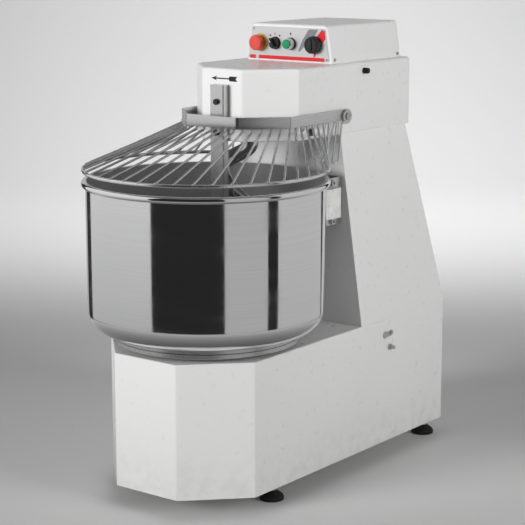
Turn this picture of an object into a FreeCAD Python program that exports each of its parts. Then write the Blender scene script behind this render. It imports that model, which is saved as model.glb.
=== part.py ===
import FreeCAD, Part
import math
import os
from FreeCAD import Vector

# Floor-standing spiral dough mixer with a fixed head. Millimetres, +Z up, -Y towards the operator.
# Everything is modelled about the bowl's axis (x = 0, y = 0) with the floor at z = 0, and is moved along Y
# when it is written, so that the row's origin is the bottom centre of the whole machine.

# ---------------------------------------------------------------- driving dimensions
# Base casing
base_half_width = 196.0
base_nose_half_width = 82.0
base_front_margin = 1.0
base_back_y = 640.0
base_bottom_z = 38.0
deck_top_z = 323.4
base_wall = 4.0
floor_plate_thickness = 5.0
casing_bend_radius = 5.0

# Column casing
column_bowl_gap = 35.0
column_top_half_width = 134.5
column_top_back_y = 553.0
column_wall = 3.0
rear_cover_thickness = 2.0
rear_cover_margin = 22.0
rear_cover_lap = 12.0

# Head casing
head_bottom_z = 744.0
head_height = 151.0
head_half_width = 138.5
head_nose_half_width = 53.0
head_back_y = 567.0
head_wall = 4.0
head_edge_radius = 8.0

# Control hood
hood_lead = 8.0
hood_back_y = 564.0
hood_bottom_half_width = 115.0
hood_top_half_width = 101.5
hood_height = 81.0
hood_wall = 2.0
hood_edge_radius = 7.0
panel_thickness = 2.0
panel_margin = 5.0

# Controls, from the operator's left
control_row_height = 38.5
estop_x = -76.0
selector_x = -34.0
start_x = 8.0
timer_x = 72.5
control_hole_radius = 11.2
estop_collar_radius = 19.5
estop_mushroom_radius = 17.0
estop_travel = 5.0
start_travel = 3.0
start_cap_radius = 10.0
start_bezel_radius = 12.0
selector_knob_radius = 12.5
timer_knob_radius = 19.0
button_clearance = 0.08

# Bowl
bowl_outer_radius = 251.0
bowl_wall = 2.5
bowl_corner_radius = 46.0
bowl_height = 318.6
rim_tube_radius = 7.0
rim_out = 2.0
turntable_radius = 200.0
turntable_thickness = 20.0
turntable_gap = 8.6

# Shafts and drives
bowl_shaft_radius = 22.5
spiral_shaft_radius = 17.5
layshaft_setback = 35.0
layshaft_deck_gap = 5.0
layshaft_radius = 15.0
motor_y = 540.0
motor_shaft_radius = 12.0
bowl_pulley_radius = 168.0
bowl_pinion_radius = 18.0
motor_pulley_radius = 22.5
drive_pulley_radius = 135.0
layshaft_head_pulley_radius = 40.0
spiral_pulley_radius = 65.0
belt_thickness = 5.0
belt_width = 24.0
pulley_flange = 4.0
bowl_belt_z = 142.0
motor_belt_z = 100.0
spiral_belt_height = 59.0
running_clearance = 0.05
belt_clearance = 0.3

# Spiral hook
hook_bar_radius = 17.0
hook_radius = 66.0
hook_flare_drop = 28.0
hook_floor_gap = 16.5
hook_wall_gap = 12.5
hook_bar_gap = 16.0
hook_turns = 1.0

# Breaker bar
bar_width = 36.0
bar_thickness = 18.0
bar_rise = 118.0
bar_floor_gap = 11.5
bar_bolt_heights = (82.7, 18.4)

# Guard
guard_pivot_setback = 5.5
guard_pivot_height = 39.3
collar_bar_gap = 18.6
collar_nose_half_width = 67.0
collar_half_width = 147.0
collar_rise = 31.0
collar_height = 24.0
collar_thickness = 3.0
guard_ring_overhang = 4.0
guard_ring_gap = 20.9
guard_ring_wire_radius = 4.0
guard_wire_radius = 2.5
guard_wire_count = 35
guard_wire_lead = 46.5
guard_ring_end_angle = 35.0
guard_pin_radius = 8.0
comb_rim_gap = 12.7
comb_leads = (51.5, 28.5)
comb_top_leads = (37.5, 18.5)

# Feet
foot_x = 161.0
foot_front_y = 15.0
foot_back_y = 611.0
foot_radius = 26.0
foot_height = 20.0
stud_radius = 6.0

# Housings, fittings and fixings
bowl_housing_radius = 55.0
spiral_housing_radius = 36.0
gland_radius = 12.0
gland_x = -140.0
gland_z = 110.0
earth_y = 408.0
earth_z = 256.6
earth_screw_y = 412.4
earth_screw_z = 289.4
vent_count = 12
vent_pitch = 14.0
vent_z0 = 190.0
vent_z1 = 270.0
louvre_count = 9
louvre_low_z = 480.0
louvre_pitch = 16.0
louvre_half = 62.0
side_bolt_setback = 27.0
side_bolt_height = 15.4
bumper_y = 377.7
bumper_drop = 19.2
bumper_radius = 6.5
bumper_length = 13.0
guard_bush_radius = 12.0
bar_bolt_radius = 6.5
steady_bolt_radius = 4.0
cover_screw_radius = 2.0
cover_screw_clearance = 0.4
steady_x = 147.5
steady_width = 15.0
steady_reach = 70.0
steady_gap = 25.0
steady_screw_lead = 37.0
steady_screw_radius = 3.0
steady_screw_head_radius = 7.0
steady_screw_head = 5.0
steady_socket_radius = 3.5
steady_drops = (103.6, 38.6)
steady_clearance = 1.2
steady_bolt_x = 122.0
tray_thickness = 2.0
selector_rest_angle = 35.0
timer_flutes = 12
bowl_bearing_radius = 40.0
spiral_bearing_radius = 31.0
layshaft_bearing_radius = 28.0
hook_bend_drop = 14.0
hook_steps = 16
hook_flare_share = 0.12
motor_plate_z = 166.0
motor_plate_thickness = 8.0
motor_plate_half_width = 150.0
motor_spigot_radius = 50.0
motor_length = 190.0
motor_radius = 70.0
rotor_radius = 42.0
motor_fins = 24
gland_bore_radius = 6.0
earth_stud_radius = 4.0
earth_stud_length = 14.0
guard_boss_radius = 16.0
guard_nub_height = 7.0
guard_wire_drop = 6.0
guard_wire_bend = 5.0
guard_pin_inner_x = 112.0
guard_cam_radius = 20.0

# ---------------------------------------------------------------- derived places
turntable_bottom_z = deck_top_z + turntable_gap
bowl_bottom_z = turntable_bottom_z + turntable_thickness
rim_top_z = bowl_bottom_z + bowl_height
rim_centre_radius = bowl_outer_radius + rim_out
bowl_total_radius = rim_centre_radius + rim_tube_radius
bowl_floor_z = bowl_bottom_z + bowl_wall
base_front_y = -turntable_radius - base_front_margin
column_front_y = bowl_total_radius + column_bowl_gap
hook_reach = hook_radius + hook_bar_radius
spiral_shaft_y = bowl_outer_radius - bowl_wall - hook_wall_gap - hook_reach
head_front_y = spiral_shaft_y - hook_reach - hook_bar_gap
layshaft_y = column_front_y + layshaft_setback
head_top_z = head_bottom_z + head_height
hood_top_z = head_top_z + hood_height
hood_front_y = column_front_y - hood_lead
hood_screw_y = (hood_front_y + 14.0, hood_back_y - 16.0)
control_row_z = head_top_z + control_row_height
spiral_belt_z = head_bottom_z + spiral_belt_height
hook_bend_z = head_bottom_z - hook_bend_drop
hook_start_z = head_bottom_z - hook_flare_drop
hook_end_z = bowl_floor_z + hook_bar_radius + hook_floor_gap
bar_top_z = head_bottom_z + bar_rise
bar_bottom_z = bowl_floor_z + bar_floor_gap
bar_bolt_z = [head_bottom_z + height for height in bar_bolt_heights]
side_bolt_y = spiral_shaft_y + side_bolt_setback
side_bolt_z = head_bottom_z + side_bolt_height
bumper_z = head_top_z - bumper_drop
guard_pivot_y = column_front_y + guard_pivot_setback
guard_pivot_z = head_bottom_z + guard_pivot_height
guard_wire_back_y = guard_pivot_y - guard_wire_lead
collar_front_y = head_front_y - bar_thickness - collar_bar_gap
collar_bottom_z = head_bottom_z + collar_rise
guard_ring_radius = bowl_outer_radius + guard_ring_overhang
guard_ring_z = rim_top_z + guard_ring_gap
comb_depth_z = rim_top_z + comb_rim_gap
comb_front_y, comb_back_y = [guard_pivot_y - lead for lead in comb_leads]
comb_top_front_y, comb_top_back_y = [guard_pivot_y - lead for lead in comb_top_leads]
steady_front_y = column_front_y - steady_reach
steady_back_y = column_front_y - steady_gap
steady_low_z, steady_high_z = [rim_top_z - drop for drop in steady_drops]
hood_screw_z = head_top_z + 7.0
arm_bottom_z = collar_bottom_z - 3.0
panel_low_z = head_top_z + 2.5
panel_high_z = hood_top_z - hood_edge_radius
floor_plate_bottom_z = base_bottom_z + 3.0
floor_plate_top_z = floor_plate_bottom_z + floor_plate_thickness
deck_bottom_z = deck_top_z - base_wall
head_floor_z = head_bottom_z + head_wall
gland_length = 20.0
origin_y = (base_back_y + gland_length - bowl_total_radius) / 2.0


# ---------------------------------------------------------------- shape helpers
def save(name, *solids):
    """Writes one sub-part, moved to the row's origin."""
    shape = solids[0] if len(solids) == 1 else Part.makeCompound(list(solids))
    shape = shape.copy()
    shape.translate(Vector(0, -origin_y, 0))
    for solid in shape.Solids:
        if not solid.isValid():
            print("not valid:", name)
    print(name, len(shape.Solids), round(shape.Volume))
    shape.exportStep(os.path.join("parts", name + ".step"))


def box(x0, x1, y0, y1, z0, z1):
    return Part.makeBox(x1 - x0, y1 - y0, z1 - z0, Vector(x0, y0, z0))


def rod(radius, start, end):
    """A round bar between two points."""
    a = Vector(*start)
    run = Vector(*end) - a
    return Part.makeCylinder(radius, run.Length, a, run)


def upright(radius, z0, z1, y=0.0, x=0.0):
    return rod(radius, (x, y, z0), (x, y, z1))


def tube(outer, inner, z0, z1, y=0.0, x=0.0):
    return upright(outer, z0, z1, y, x).cut(upright(inner, z0 - 1, z1 + 1, y, x))


def along_y(radius, y0, y1, x, z):
    return rod(radius, (x, y0, z), (x, y1, z))


def along_x(radius, x0, x1, y, z):
    return rod(radius, (x0, y, z), (x1, y, z))


def outline(points):
    corners = [Vector(*p) for p in points]
    return Part.makePolygon(corners + corners[:1])


def prism(points, z0, z1):
    """Extrudes an XY outline between two heights."""
    face = Part.Face(outline([(x, y, z0) for x, y in points]))
    return face.extrude(Vector(0, 0, z1 - z0))


def tapered(low, z0, high, z1):
    """A flat-sided body between two four-cornered outlines."""
    bottom = [Vector(x, y, z0) for x, y in low]
    top = [Vector(x, y, z1) for x, y in high]
    faces = [Part.Face(outline(bottom)), Part.Face(outline(top))]
    for i in range(len(bottom)):
        j = (i + 1) % len(bottom)
        faces.append(Part.Face(outline([bottom[i], bottom[j], top[j], top[i]])))
    return Part.makeSolid(Part.makeShell(faces)).removeSplitter()


def turned(profile, y=0.0, x=0.0):
    """Revolves an (r, z) outline about the vertical through (x, y)."""
    face = Part.Face(outline([(r, 0, z) for r, z in profile]))
    solid = face.revolve(Vector(0, 0, 0), Vector(0, 0, 1), 360)
    solid.translate(Vector(x, y, 0))
    return solid


def turned_y(profile, x, z):
    """Revolves an (r, depth) outline about a line along Y; depth is the place along Y."""
    face = Part.Face(outline([(r, d, 0) for r, d in profile]))
    solid = face.revolve(Vector(0, 0, 0), Vector(0, 1, 0), 360)
    solid.translate(Vector(x, 0, z))
    return solid


def joined(solids):
    whole = solids[0]
    for solid in solids[1:]:
        whole = whole.fuse(solid)
    return whole.removeSplitter()


def mirrored_x(solid):
    return solid.mirror(Vector(0, 0, 0), Vector(1, 0, 0))


def round_edges(solid, radius, wanted):
    edges = [edge for edge in solid.Edges if wanted(edge)]
    return solid.makeFillet(radius, edges)


def is_upright(edge):
    a, b = (v.Point for v in edge.Vertexes[:2])
    return abs(a.x - b.x) < 0.01 and abs(a.y - b.y) < 0.01


def lies_at(z):
    return lambda edge: all(abs(v.Point.z - z) < 0.01 for v in edge.Vertexes)


def casing_outline(half, nose_half, front, back, inset=0.0):
    """Rectangle in plan with its two front corners cut at 45 degrees, drawn in by inset."""
    cut = half - nose_half
    lean = inset * math.tan(math.radians(22.5))
    nose = nose_half - lean
    side_y = front + cut + lean
    return [
        (-nose, front + inset),
        (nose, front + inset),
        (half - inset, side_y),
        (half - inset, back - inset),
        (-(half - inset), back - inset),
        (-(half - inset), side_y),
    ]


def bent_path(points, bend):
    """Straight runs joined by tangent arcs."""
    corners = [Vector(*p) for p in points]
    edges = []
    start = corners[0]
    for before, corner, after in zip(corners, corners[1:], corners[2:]):
        back = (before - corner).normalize()
        ahead = (after - corner).normalize()
        half_turn = (math.pi - back.getAngle(ahead)) / 2.0
        room = 0.45 * min((before - corner).Length, (after - corner).Length)
        radius = min(bend, room / math.tan(half_turn))
        reach = radius * math.tan(half_turn)
        entry = corner + back * reach
        leave = corner + ahead * reach
        inward = (back + ahead).normalize()
        middle = corner + inward * (radius / math.cos(half_turn) - radius)
        edges.append(Part.LineSegment(start, entry).toShape())
        edges.append(Part.Arc(entry, middle, leave).toShape())
        start = leave
    edges.append(Part.LineSegment(start, corners[-1]).toShape())
    return Part.Wire(edges)


def bent_rod(points, bend, radius):
    path = bent_path(points, bend)
    first = Vector(*points[1]) - Vector(*points[0])
    ring = Part.Wire(Part.makeCircle(radius, Vector(*points[0]), first))
    return path.makePipeShell([ring], True, True)


def hex_bolt_y(x, z, face_y, radius, head_height, length):
    """A bolt whose head stands on a face that looks towards -Y."""
    corners = []
    for i in range(6):
        angle = math.radians(60 * i + 30)
        corners.append((x + radius * math.cos(angle), face_y, z + radius * math.sin(angle)))
    head = Part.Face(outline(corners)).extrude(Vector(0, -head_height, 0))
    shank = along_y(radius * 0.5, face_y, face_y + length, x, z)
    return head.fuse(shank)


def belt(first, first_radius, second, second_radius, z):
    """A flat belt round two pulleys whose axes lie on the machine's centre line."""
    loops = []
    for skin in (belt_clearance, belt_clearance + belt_thickness):
        a = first_radius + skin
        b = second_radius + skin
        lean = math.asin((a - b) / (second - first))
        points = []
        for side in (1, -1):
            for centre, radius in ((first, a), (second, b)):
                points.append(Vector(side * radius * math.cos(lean), centre + radius * math.sin(lean), z))
        right_a, right_b, left_a, left_b = points
        edges = [
            Part.LineSegment(right_a, right_b).toShape(),
            Part.Arc(right_b, Vector(0, second + b, z), left_b).toShape(),
            Part.LineSegment(left_b, left_a).toShape(),
            Part.Arc(left_a, Vector(0, first - a, z), right_a).toShape(),
        ]
        loops.append(Part.Face(Part.Wire(edges)))
    ring = loops[1].cut(loops[0])
    ring.translate(Vector(0, 0, -belt_width / 2.0))
    return ring.extrude(Vector(0, 0, belt_width))


def pulley(radius, bore, z, y, web=8.0):
    """A flanged flat-belt pulley; a large one is cut away to a web and a hub."""
    half = belt_width / 2.0 + 1.0
    flange_radius = radius + pulley_flange
    profile = [
        (bore, z - half - 2),
        (flange_radius, z - half - 2),
        (flange_radius, z - half),
        (radius, z - half),
        (radius, z + half),
        (flange_radius, z + half),
        (flange_radius, z + half + 2),
        (bore, z + half + 2),
    ]
    body = turned(profile, y)
    hub = bore + 16.0
    rim = radius - 8.0
    if rim - hub < 20.0:
        return body
    for low, high in ((z - half - 3, z - web / 2.0), (z + web / 2.0, z + half + 3)):
        body = body.cut(tube(rim, hub, low, high, y))
    hole = (rim - hub) / 3.2
    for i in range(5):
        angle = math.radians(72 * i)
        middle = (rim + hub) / 2.0
        hole_y = y + middle * math.cos(angle)
        body = body.cut(upright(hole, z - web, z + web, hole_y, middle * math.sin(angle)))
    return body


def bearing(bore, outer, z0, z1, y):
    """A sealed ball bearing as one ring with a shield groove in each face."""
    ring = tube(outer, bore + running_clearance, z0, z1, y)
    middle = (bore + outer) / 2.0
    groove = (outer - bore) / 5.0
    for low, high in ((z0 - 1, z0 + 1), (z1 - 1, z1 + 1)):
        ring = ring.cut(tube(middle + groove, middle - groove, low, high, y))
    return ring


# ---------------------------------------------------------------- frame and casings
def base_plan(inset=0.0):
    return casing_outline(base_half_width, base_nose_half_width, base_front_y, base_back_y, inset)


def make_base_shell():
    outer = prism(base_plan(), base_bottom_z, deck_top_z)
    outer = round_edges(outer, casing_bend_radius, is_upright)
    outer = round_edges(outer, 3.0, lies_at(deck_top_z))
    inner = prism(base_plan(base_wall), base_bottom_z - 1, deck_bottom_z)
    shell = outer.cut(inner)
    shell = shell.cut(upright(bowl_housing_radius + 0.2, deck_bottom_z - 1, deck_top_z + 1))
    opening = box(
        -(base_half_width - 40),
        base_half_width - 40,
        layshaft_y - layshaft_radius - layshaft_deck_gap,
        base_back_y - 20,
        deck_bottom_z - 1,
        deck_top_z + 1,
    )
    shell = shell.cut(opening)
    shell = shell.cut(along_y(gland_radius - 4, base_back_y - 10, base_back_y + 10, gland_x, gland_z))
    for y, z, radius in ((earth_y, earth_z, 4.0), (earth_screw_y, earth_screw_z, 3.0)):
        shell = shell.cut(along_x(radius, base_half_width - 10, base_half_width + 10, y, z))
    for i in range(vent_count):
        x = (i - (vent_count - 1) / 2.0) * vent_pitch
        shell = shell.cut(box(x - 3, x + 3, base_back_y - 10, base_back_y + 10, vent_z0, vent_z1))
    save("base_shell", shell)


def make_floor_plate():
    inset = base_wall + 0.2
    plate = prism(base_plan(inset), floor_plate_bottom_z, floor_plate_top_z)
    for x in (-foot_x, foot_x):
        for y in (foot_front_y, foot_back_y):
            plate = plate.cut(upright(stud_radius, base_bottom_z, floor_plate_top_z + 5, y, x))
    window = box(-110, 110, -110, 220, base_bottom_z, floor_plate_top_z + 5)
    plate = plate.cut(window)
    save("base_floor_plate", plate)


def column_half_width(z):
    share = (z - deck_top_z) / (head_bottom_z - deck_top_z)
    return base_half_width + (column_top_half_width - base_half_width) * share


def column_back(z):
    share = (z - deck_top_z) / (head_bottom_z - deck_top_z)
    return base_back_y + (column_top_back_y - base_back_y) * share


def column_section(z, inset):
    half = column_half_width(z) - inset
    front = column_front_y + inset
    back = column_back(z) - inset
    return [(-half, front), (half, front), (half, back), (-half, back)]


def make_column_shell():
    low, high = deck_top_z, head_bottom_z
    outer = tapered(column_section(low, 0), low, column_section(high, 0), high)
    inner = tapered(
        column_section(low - 5, column_wall),
        low - 5,
        column_section(high + 5, column_wall),
        high + 5,
    )
    shell = outer.cut(inner)
    window_low = deck_top_z + rear_cover_margin + rear_cover_lap
    window_high = head_bottom_z - rear_cover_margin - rear_cover_lap
    inset = rear_cover_margin + rear_cover_lap
    low_half = column_half_width(window_low) - inset
    high_half = column_half_width(window_high) - inset
    window = tapered(
        [(-low_half, column_back(window_low) - 30), (low_half, column_back(window_low) - 30),
         (low_half, column_back(window_low) + 30), (-low_half, column_back(window_low) + 30)],
        window_low,
        [(-high_half, column_back(window_high) - 30), (high_half, column_back(window_high) - 30),
         (high_half, column_back(window_high) + 30), (-high_half, column_back(window_high) + 30)],
        window_high,
    )
    shell = shell.cut(window)
    for x, z in steady_bolt_places():
        shell = shell.cut(along_y(steady_bolt_radius, column_front_y - 5, column_front_y + 10, x, z))
    hole_radius = cover_screw_radius + cover_screw_clearance
    for place, outwards in cover_screw_places():
        shell = shell.cut(bored(place, outwards, hole_radius, -12.0, 12.0))
    save("column_shell", shell)


def rear_cover_corner(z, offset):
    """Half-width and Y of the cover's edge at a height, offset out from the column's back."""
    return column_half_width(z) - rear_cover_margin, column_back(z) + offset


def cover_screw_places():
    """The point on the column's sloping back, and the way out of it, for each screw of the rear cover."""
    low = deck_top_z + rear_cover_margin
    high = head_bottom_z - rear_cover_margin
    slope = (base_back_y - column_top_back_y) / (head_bottom_z - deck_top_z)
    outwards = Vector(0, 1, slope).normalize()
    places = []
    for share in (0.04, 0.5, 0.96):
        z = low + (high - low) * share
        half, back = rear_cover_corner(z, 0.0)
        for x in (-(half - 6), half - 6):
            places.append((Vector(x, back, z), outwards))
    return places


def bored(place, outwards, radius, first, last):
    """A round body square to a surface, between two distances out from it."""
    return Part.makeCylinder(radius, last - first, place + outwards * first, outwards)


def make_rear_cover():
    low = deck_top_z + rear_cover_margin
    high = head_bottom_z - rear_cover_margin
    sections = []
    for z in (low, high):
        half, inner = rear_cover_corner(z, 0.0)
        outer = inner + rear_cover_thickness
        sections.append([(-half, inner), (half, inner), (half, outer), (-half, outer)])
    cover = tapered(sections[0], low, sections[1], high)
    for row in range(louvre_count):
        z = louvre_low_z + row * louvre_pitch
        y = column_back(z)
        cover = cover.cut(box(-louvre_half, louvre_half, y - 10, y + 10, z, z + 5))
    screws = []
    for place, outwards in cover_screw_places():
        cover = cover.cut(bored(place, outwards, cover_screw_radius, -12.0, 12.0))
        shank = bored(place, outwards, cover_screw_radius, -7.0, rear_cover_thickness + 0.5)
        head = bored(place, outwards, 4.0, rear_cover_thickness, rear_cover_thickness + 2.0)
        socket = bored(place, outwards, 1.5, rear_cover_thickness + 1.0, rear_cover_thickness + 2.5)
        screws.append(shank.fuse(head).cut(socket))
    save("rear_cover", cover)
    save("rear_cover_screws", *screws)


def head_plan(inset=0.0):
    return casing_outline(head_half_width, head_nose_half_width, head_front_y, head_back_y, inset)


def make_head_shell():
    outer = prism(head_plan(), head_bottom_z, head_top_z)
    outer = round_edges(outer, head_edge_radius, is_upright)
    outer = round_edges(outer, head_edge_radius - 1, lies_at(head_top_z))
    outer = round_edges(outer, 3.0, lies_at(head_bottom_z))
    inner = prism(head_plan(head_wall), head_floor_z, head_top_z - head_wall)
    shell = outer.cut(inner)
    floor_cut = (head_bottom_z - 5, head_floor_z + 5)
    shell = shell.cut(upright(spiral_housing_radius + 0.2, *floor_cut, spiral_shaft_y))
    shell = shell.cut(upright(layshaft_radius + 3, head_bottom_z - 5, head_floor_z + 5, layshaft_y))
    shell = shell.cut(box(-70, 70, layshaft_y + 70, column_top_back_y - 30, *floor_cut))
    shell = shell.cut(box(-80, 80, hood_front_y + 30, hood_back_y - 30, head_top_z - 10, head_top_z + 5))
    shell = shell.cut(along_x(guard_bush_radius, -200, 200, guard_pivot_y, guard_pivot_z))
    for x in (-1, 1):
        for y, z, radius in ((side_bolt_y, side_bolt_z, 5.0), (bumper_y, bumper_z, 3.0)):
            shell = shell.cut(along_x(radius, x * (head_half_width - 10), x * (head_half_width + 10), y, z))
    for z in bar_bolt_z:
        shell = shell.cut(along_y(bar_bolt_radius * 0.5, head_front_y - 5, head_front_y + 10, 0, z))
    save("head_shell", shell)


def hood_section(half, front, back):
    return [(-half, front), (half, front), (half, back), (-half, back)]


def make_control_hood():
    low, high = head_top_z, hood_top_z
    outer = tapered(
        hood_section(hood_bottom_half_width, hood_front_y, hood_back_y),
        low,
        hood_section(hood_top_half_width, hood_front_y, hood_back_y),
        high,
    )
    outer = round_edges(outer, hood_edge_radius, lambda edge: not lies_at(low)(edge))
    inner = tapered(
        hood_section(hood_bottom_half_width - hood_wall, hood_front_y + hood_wall, hood_back_y - hood_wall),
        low - 1,
        hood_section(hood_top_half_width - hood_wall, hood_front_y + hood_wall, hood_back_y - hood_wall),
        high - hood_wall,
    )
    hood = outer.cut(inner)
    window = (estop_x - 18, timer_x + 18, control_row_z - 20, control_row_z + 20)
    left, right, low, high = window
    hood = hood.cut(box(left, right, hood_front_y - 5, hood_front_y + hood_wall + 1, low, high))
    for screw in panel_screw_bodies():
        hood = hood.cut(screw)
    for x in (-1, 1):
        for y in hood_screw_y:
            half = hood_bottom_half_width + 1
            hood = hood.cut(along_x(2.0, x * (half - 10), x * half, y, hood_screw_z))
    save("control_hood", hood)


def panel_half_width(z):
    share = (z - head_top_z) / hood_height
    return hood_bottom_half_width + (hood_top_half_width - hood_bottom_half_width) * share


def panel_corner(z, side, inset):
    return side * (panel_half_width(z) - panel_margin - inset)


def panel_screw_bodies():
    front = hood_front_y - panel_thickness
    screws = []
    for z in (panel_low_z + 5, panel_high_z - 5):
        for side in (-1, 1):
            x = panel_corner(z, side, 5.0)
            head = along_y(2.2, front - 1.2, front, x, z)
            screws.append(head.fuse(along_y(1.2, front, hood_front_y + hood_wall + 3, x, z)))
    return screws


def make_control_panel():
    front = hood_front_y - panel_thickness
    corners = []
    for z, side in ((panel_low_z, -1), (panel_low_z, 1), (panel_high_z, 1), (panel_high_z, -1)):
        corners.append((panel_corner(z, side, 0.0), front, z))
    plate = Part.Face(outline(corners)).extrude(Vector(0, panel_thickness, 0))
    plate = plate.makeFillet(4.0, [e for e in plate.Edges if abs(e.Length - panel_thickness) < 0.01])
    for x in (estop_x, selector_x, start_x, timer_x):
        plate = plate.cut(along_y(control_hole_radius, front - 5, hood_front_y + 5, x, control_row_z))
    screws = panel_screw_bodies()
    for screw in screws:
        plate = plate.cut(screw)
    save("control_panel", plate)
    for side in (-1, 1):
        for y in hood_screw_y:
            half = panel_half_width(hood_screw_z)
            seat = half + 0.6
            head = along_x(3.5, side * seat, side * (seat + 1.6), y, hood_screw_z)
            shank = along_x(2.0, side * (seat - 8), side * seat, y, hood_screw_z)
            screws.append(head.fuse(shank))
    save("panel_screws", *screws)


def steady_bolt_places():
    return [(side * steady_bolt_x, z) for side in (-1, 1) for z in (steady_low_z - 2, steady_high_z + 3)]


# ---------------------------------------------------------------- controls
def make_controls(panel_front):
    z = control_row_z
    back = panel_front + 15.0
    bore = 8.0 + button_clearance

    collar_face = panel_front - 2.5
    collar = turned_y(
        [(bore, collar_face), (estop_collar_radius, collar_face), (estop_collar_radius, panel_front),
         (11.0, panel_front), (11.0, back), (bore, back)],
        estop_x, z,
    )
    save("estop_collar", collar)
    head_back = collar_face - estop_travel - 4.5
    head_front = head_back - 10.0
    r = estop_mushroom_radius
    mushroom = turned_y(
        [(0, head_front), (r - 5, head_front + 0.6), (r - 1.5, head_front + 2.2), (r, head_front + 5),
         (r, head_back - 1.5), (r - 2, head_back), (8.0, head_back), (8.0, back), (0, back)],
        estop_x, z,
    )
    save("estop_button", mushroom)

    bezel_front = panel_front - 17.0
    bezel_bore = start_cap_radius + button_clearance
    bezel = turned_y(
        [(bezel_bore, bezel_front), (start_bezel_radius - 1, bezel_front),
         (start_bezel_radius, bezel_front + 1),
         (start_bezel_radius, panel_front - 3), (start_bezel_radius + 1.5, panel_front - 3),
         (start_bezel_radius + 1.5, panel_front), (11.0, panel_front), (11.0, back), (bezel_bore, back)],
        start_x, z,
    )
    save("start_bezel", bezel)
    cap_front = bezel_front - start_travel - 0.5
    cap = turned_y(
        [(0, cap_front), (start_cap_radius - 1.5, cap_front), (start_cap_radius, cap_front + 1.5),
         (start_cap_radius, panel_front), (6.0, panel_front), (6.0, back), (0, back)],
        start_x, z,
    )
    save("start_button", cap)

    barrels = []
    for x, flange, stem in ((selector_x, selector_knob_radius + 1.5, 8.0), (timer_x, 14.0, 6.0)):
        hole = stem + button_clearance
        barrels.append(turned_y(
            [(hole, panel_front - 2), (flange, panel_front - 2), (flange, panel_front),
             (11.0, panel_front), (11.0, back), (hole, back)],
            x, z,
        ))
    save("control_barrels", *barrels)

    disc_back = panel_front - 2.5
    disc_front = disc_back - 7.0
    knob = turned_y(
        [(0, disc_front), (selector_knob_radius - 1, disc_front), (selector_knob_radius, disc_front + 1),
         (selector_knob_radius, disc_back), (8.0, disc_back), (8.0, back), (0, back)],
        selector_x, z,
    )
    grip = box(-4, 4, disc_front - 9, disc_front + 1, -selector_knob_radius + 0.4, selector_knob_radius - 0.4)
    grip = grip.makeFillet(2.0, [e for e in grip.Edges if e.Length > 9.5 and e.Length < 10.5])
    grip.rotate(Vector(0, 0, 0), Vector(0, 1, 0), -selector_rest_angle)
    grip.translate(Vector(selector_x, 0, z))
    save("selector_knob", joined([knob, grip]))

    timer_front = disc_back - 15.0
    timer = turned_y(
        [(0, timer_front), (timer_knob_radius - 4, timer_front), (timer_knob_radius - 2, timer_front + 2),
         (timer_knob_radius, disc_back - 2), (timer_knob_radius, disc_back), (6.0, disc_back),
         (6.0, back), (0, back)],
        timer_x, z,
    )
    for i in range(timer_flutes):
        angle = 2 * math.pi * i / timer_flutes
        reach = timer_knob_radius + 1.2
        x = timer_x + reach * math.cos(angle)
        flute_z = z + reach * math.sin(angle)
        timer = timer.cut(along_y(2.2, timer_front - 1, disc_back - 3, x, flute_z))
    save("timer_knob", timer)

    blocks = []
    block_front = back + estop_travel + 1.0
    for x, half, depth in ((estop_x, 14, 38), (selector_x, 14, 38), (start_x, 14, 38), (timer_x, 22, 46)):
        block = box(x - half, x + half, block_front, block_front + depth, z - 20, z + 20)
        for row in (-1, 1):
            for side in (-7, 7):
                entry = along_y(2.5, block_front + depth - 6, block_front + depth + 1, x + side, z + row * 11)
                block = block.cut(entry)
        blocks.append(block)
    for x in (-66, -14, 38):
        low = head_top_z + tray_thickness
        body = box(x - 22, x + 22, 432, 512, low, low + 52)
        body = body.cut(box(x - 30, x + 30, 425, 446, low + 34, low + 60))
        body = body.cut(box(x - 30, x + 30, 498, 520, low + 34, low + 60))
        blocks.append(body)
    save("contact_blocks", *blocks)
    tray = box(-92, 92, hood_front_y + 100, hood_back_y - 14, head_top_z, head_top_z + tray_thickness)
    tray = tray.cut(box(-60, 60, hood_front_y + 108, hood_front_y + 132, head_top_z - 1, head_top_z + 9))
    save("electrics_tray", tray)


# ---------------------------------------------------------------- bowl and its drive
def make_bowl():
    z0 = bowl_bottom_z
    rc = bowl_corner_radius
    wall = bowl_wall
    outer = bowl_outer_radius
    top = rim_top_z - rim_tube_radius
    bend = z0 + rc
    diagonal = math.sqrt(0.5)

    def corner_arc(radius, first, last):
        centre_r = outer - rc
        middle = Vector(centre_r + radius * diagonal, 0, bend - radius * diagonal)
        return Part.Arc(first, middle, last).toShape()

    points = [
        Vector(0, 0, z0),
        Vector(outer - rc, 0, z0),
        Vector(outer, 0, bend),
        Vector(outer, 0, top),
        Vector(outer - wall, 0, top),
        Vector(outer - wall, 0, bend),
        Vector(outer - rc, 0, z0 + wall),
        Vector(0, 0, z0 + wall),
    ]
    edges = []
    for i in range(len(points)):
        a = points[i]
        b = points[(i + 1) % len(points)]
        if i == 1:
            edges.append(corner_arc(rc, a, b))
        elif i == 5:
            edges.append(corner_arc(rc - wall, a, b))
        else:
            edges.append(Part.LineSegment(a, b).toShape())
    shell = Part.Face(Part.Wire(edges)).revolve(Vector(0, 0, 0), Vector(0, 0, 1), 360)
    rim = Part.makeTorus(rim_centre_radius, rim_tube_radius, Vector(0, 0, top), Vector(0, 0, 1))
    save("bowl", shell.fuse(rim))


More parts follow.
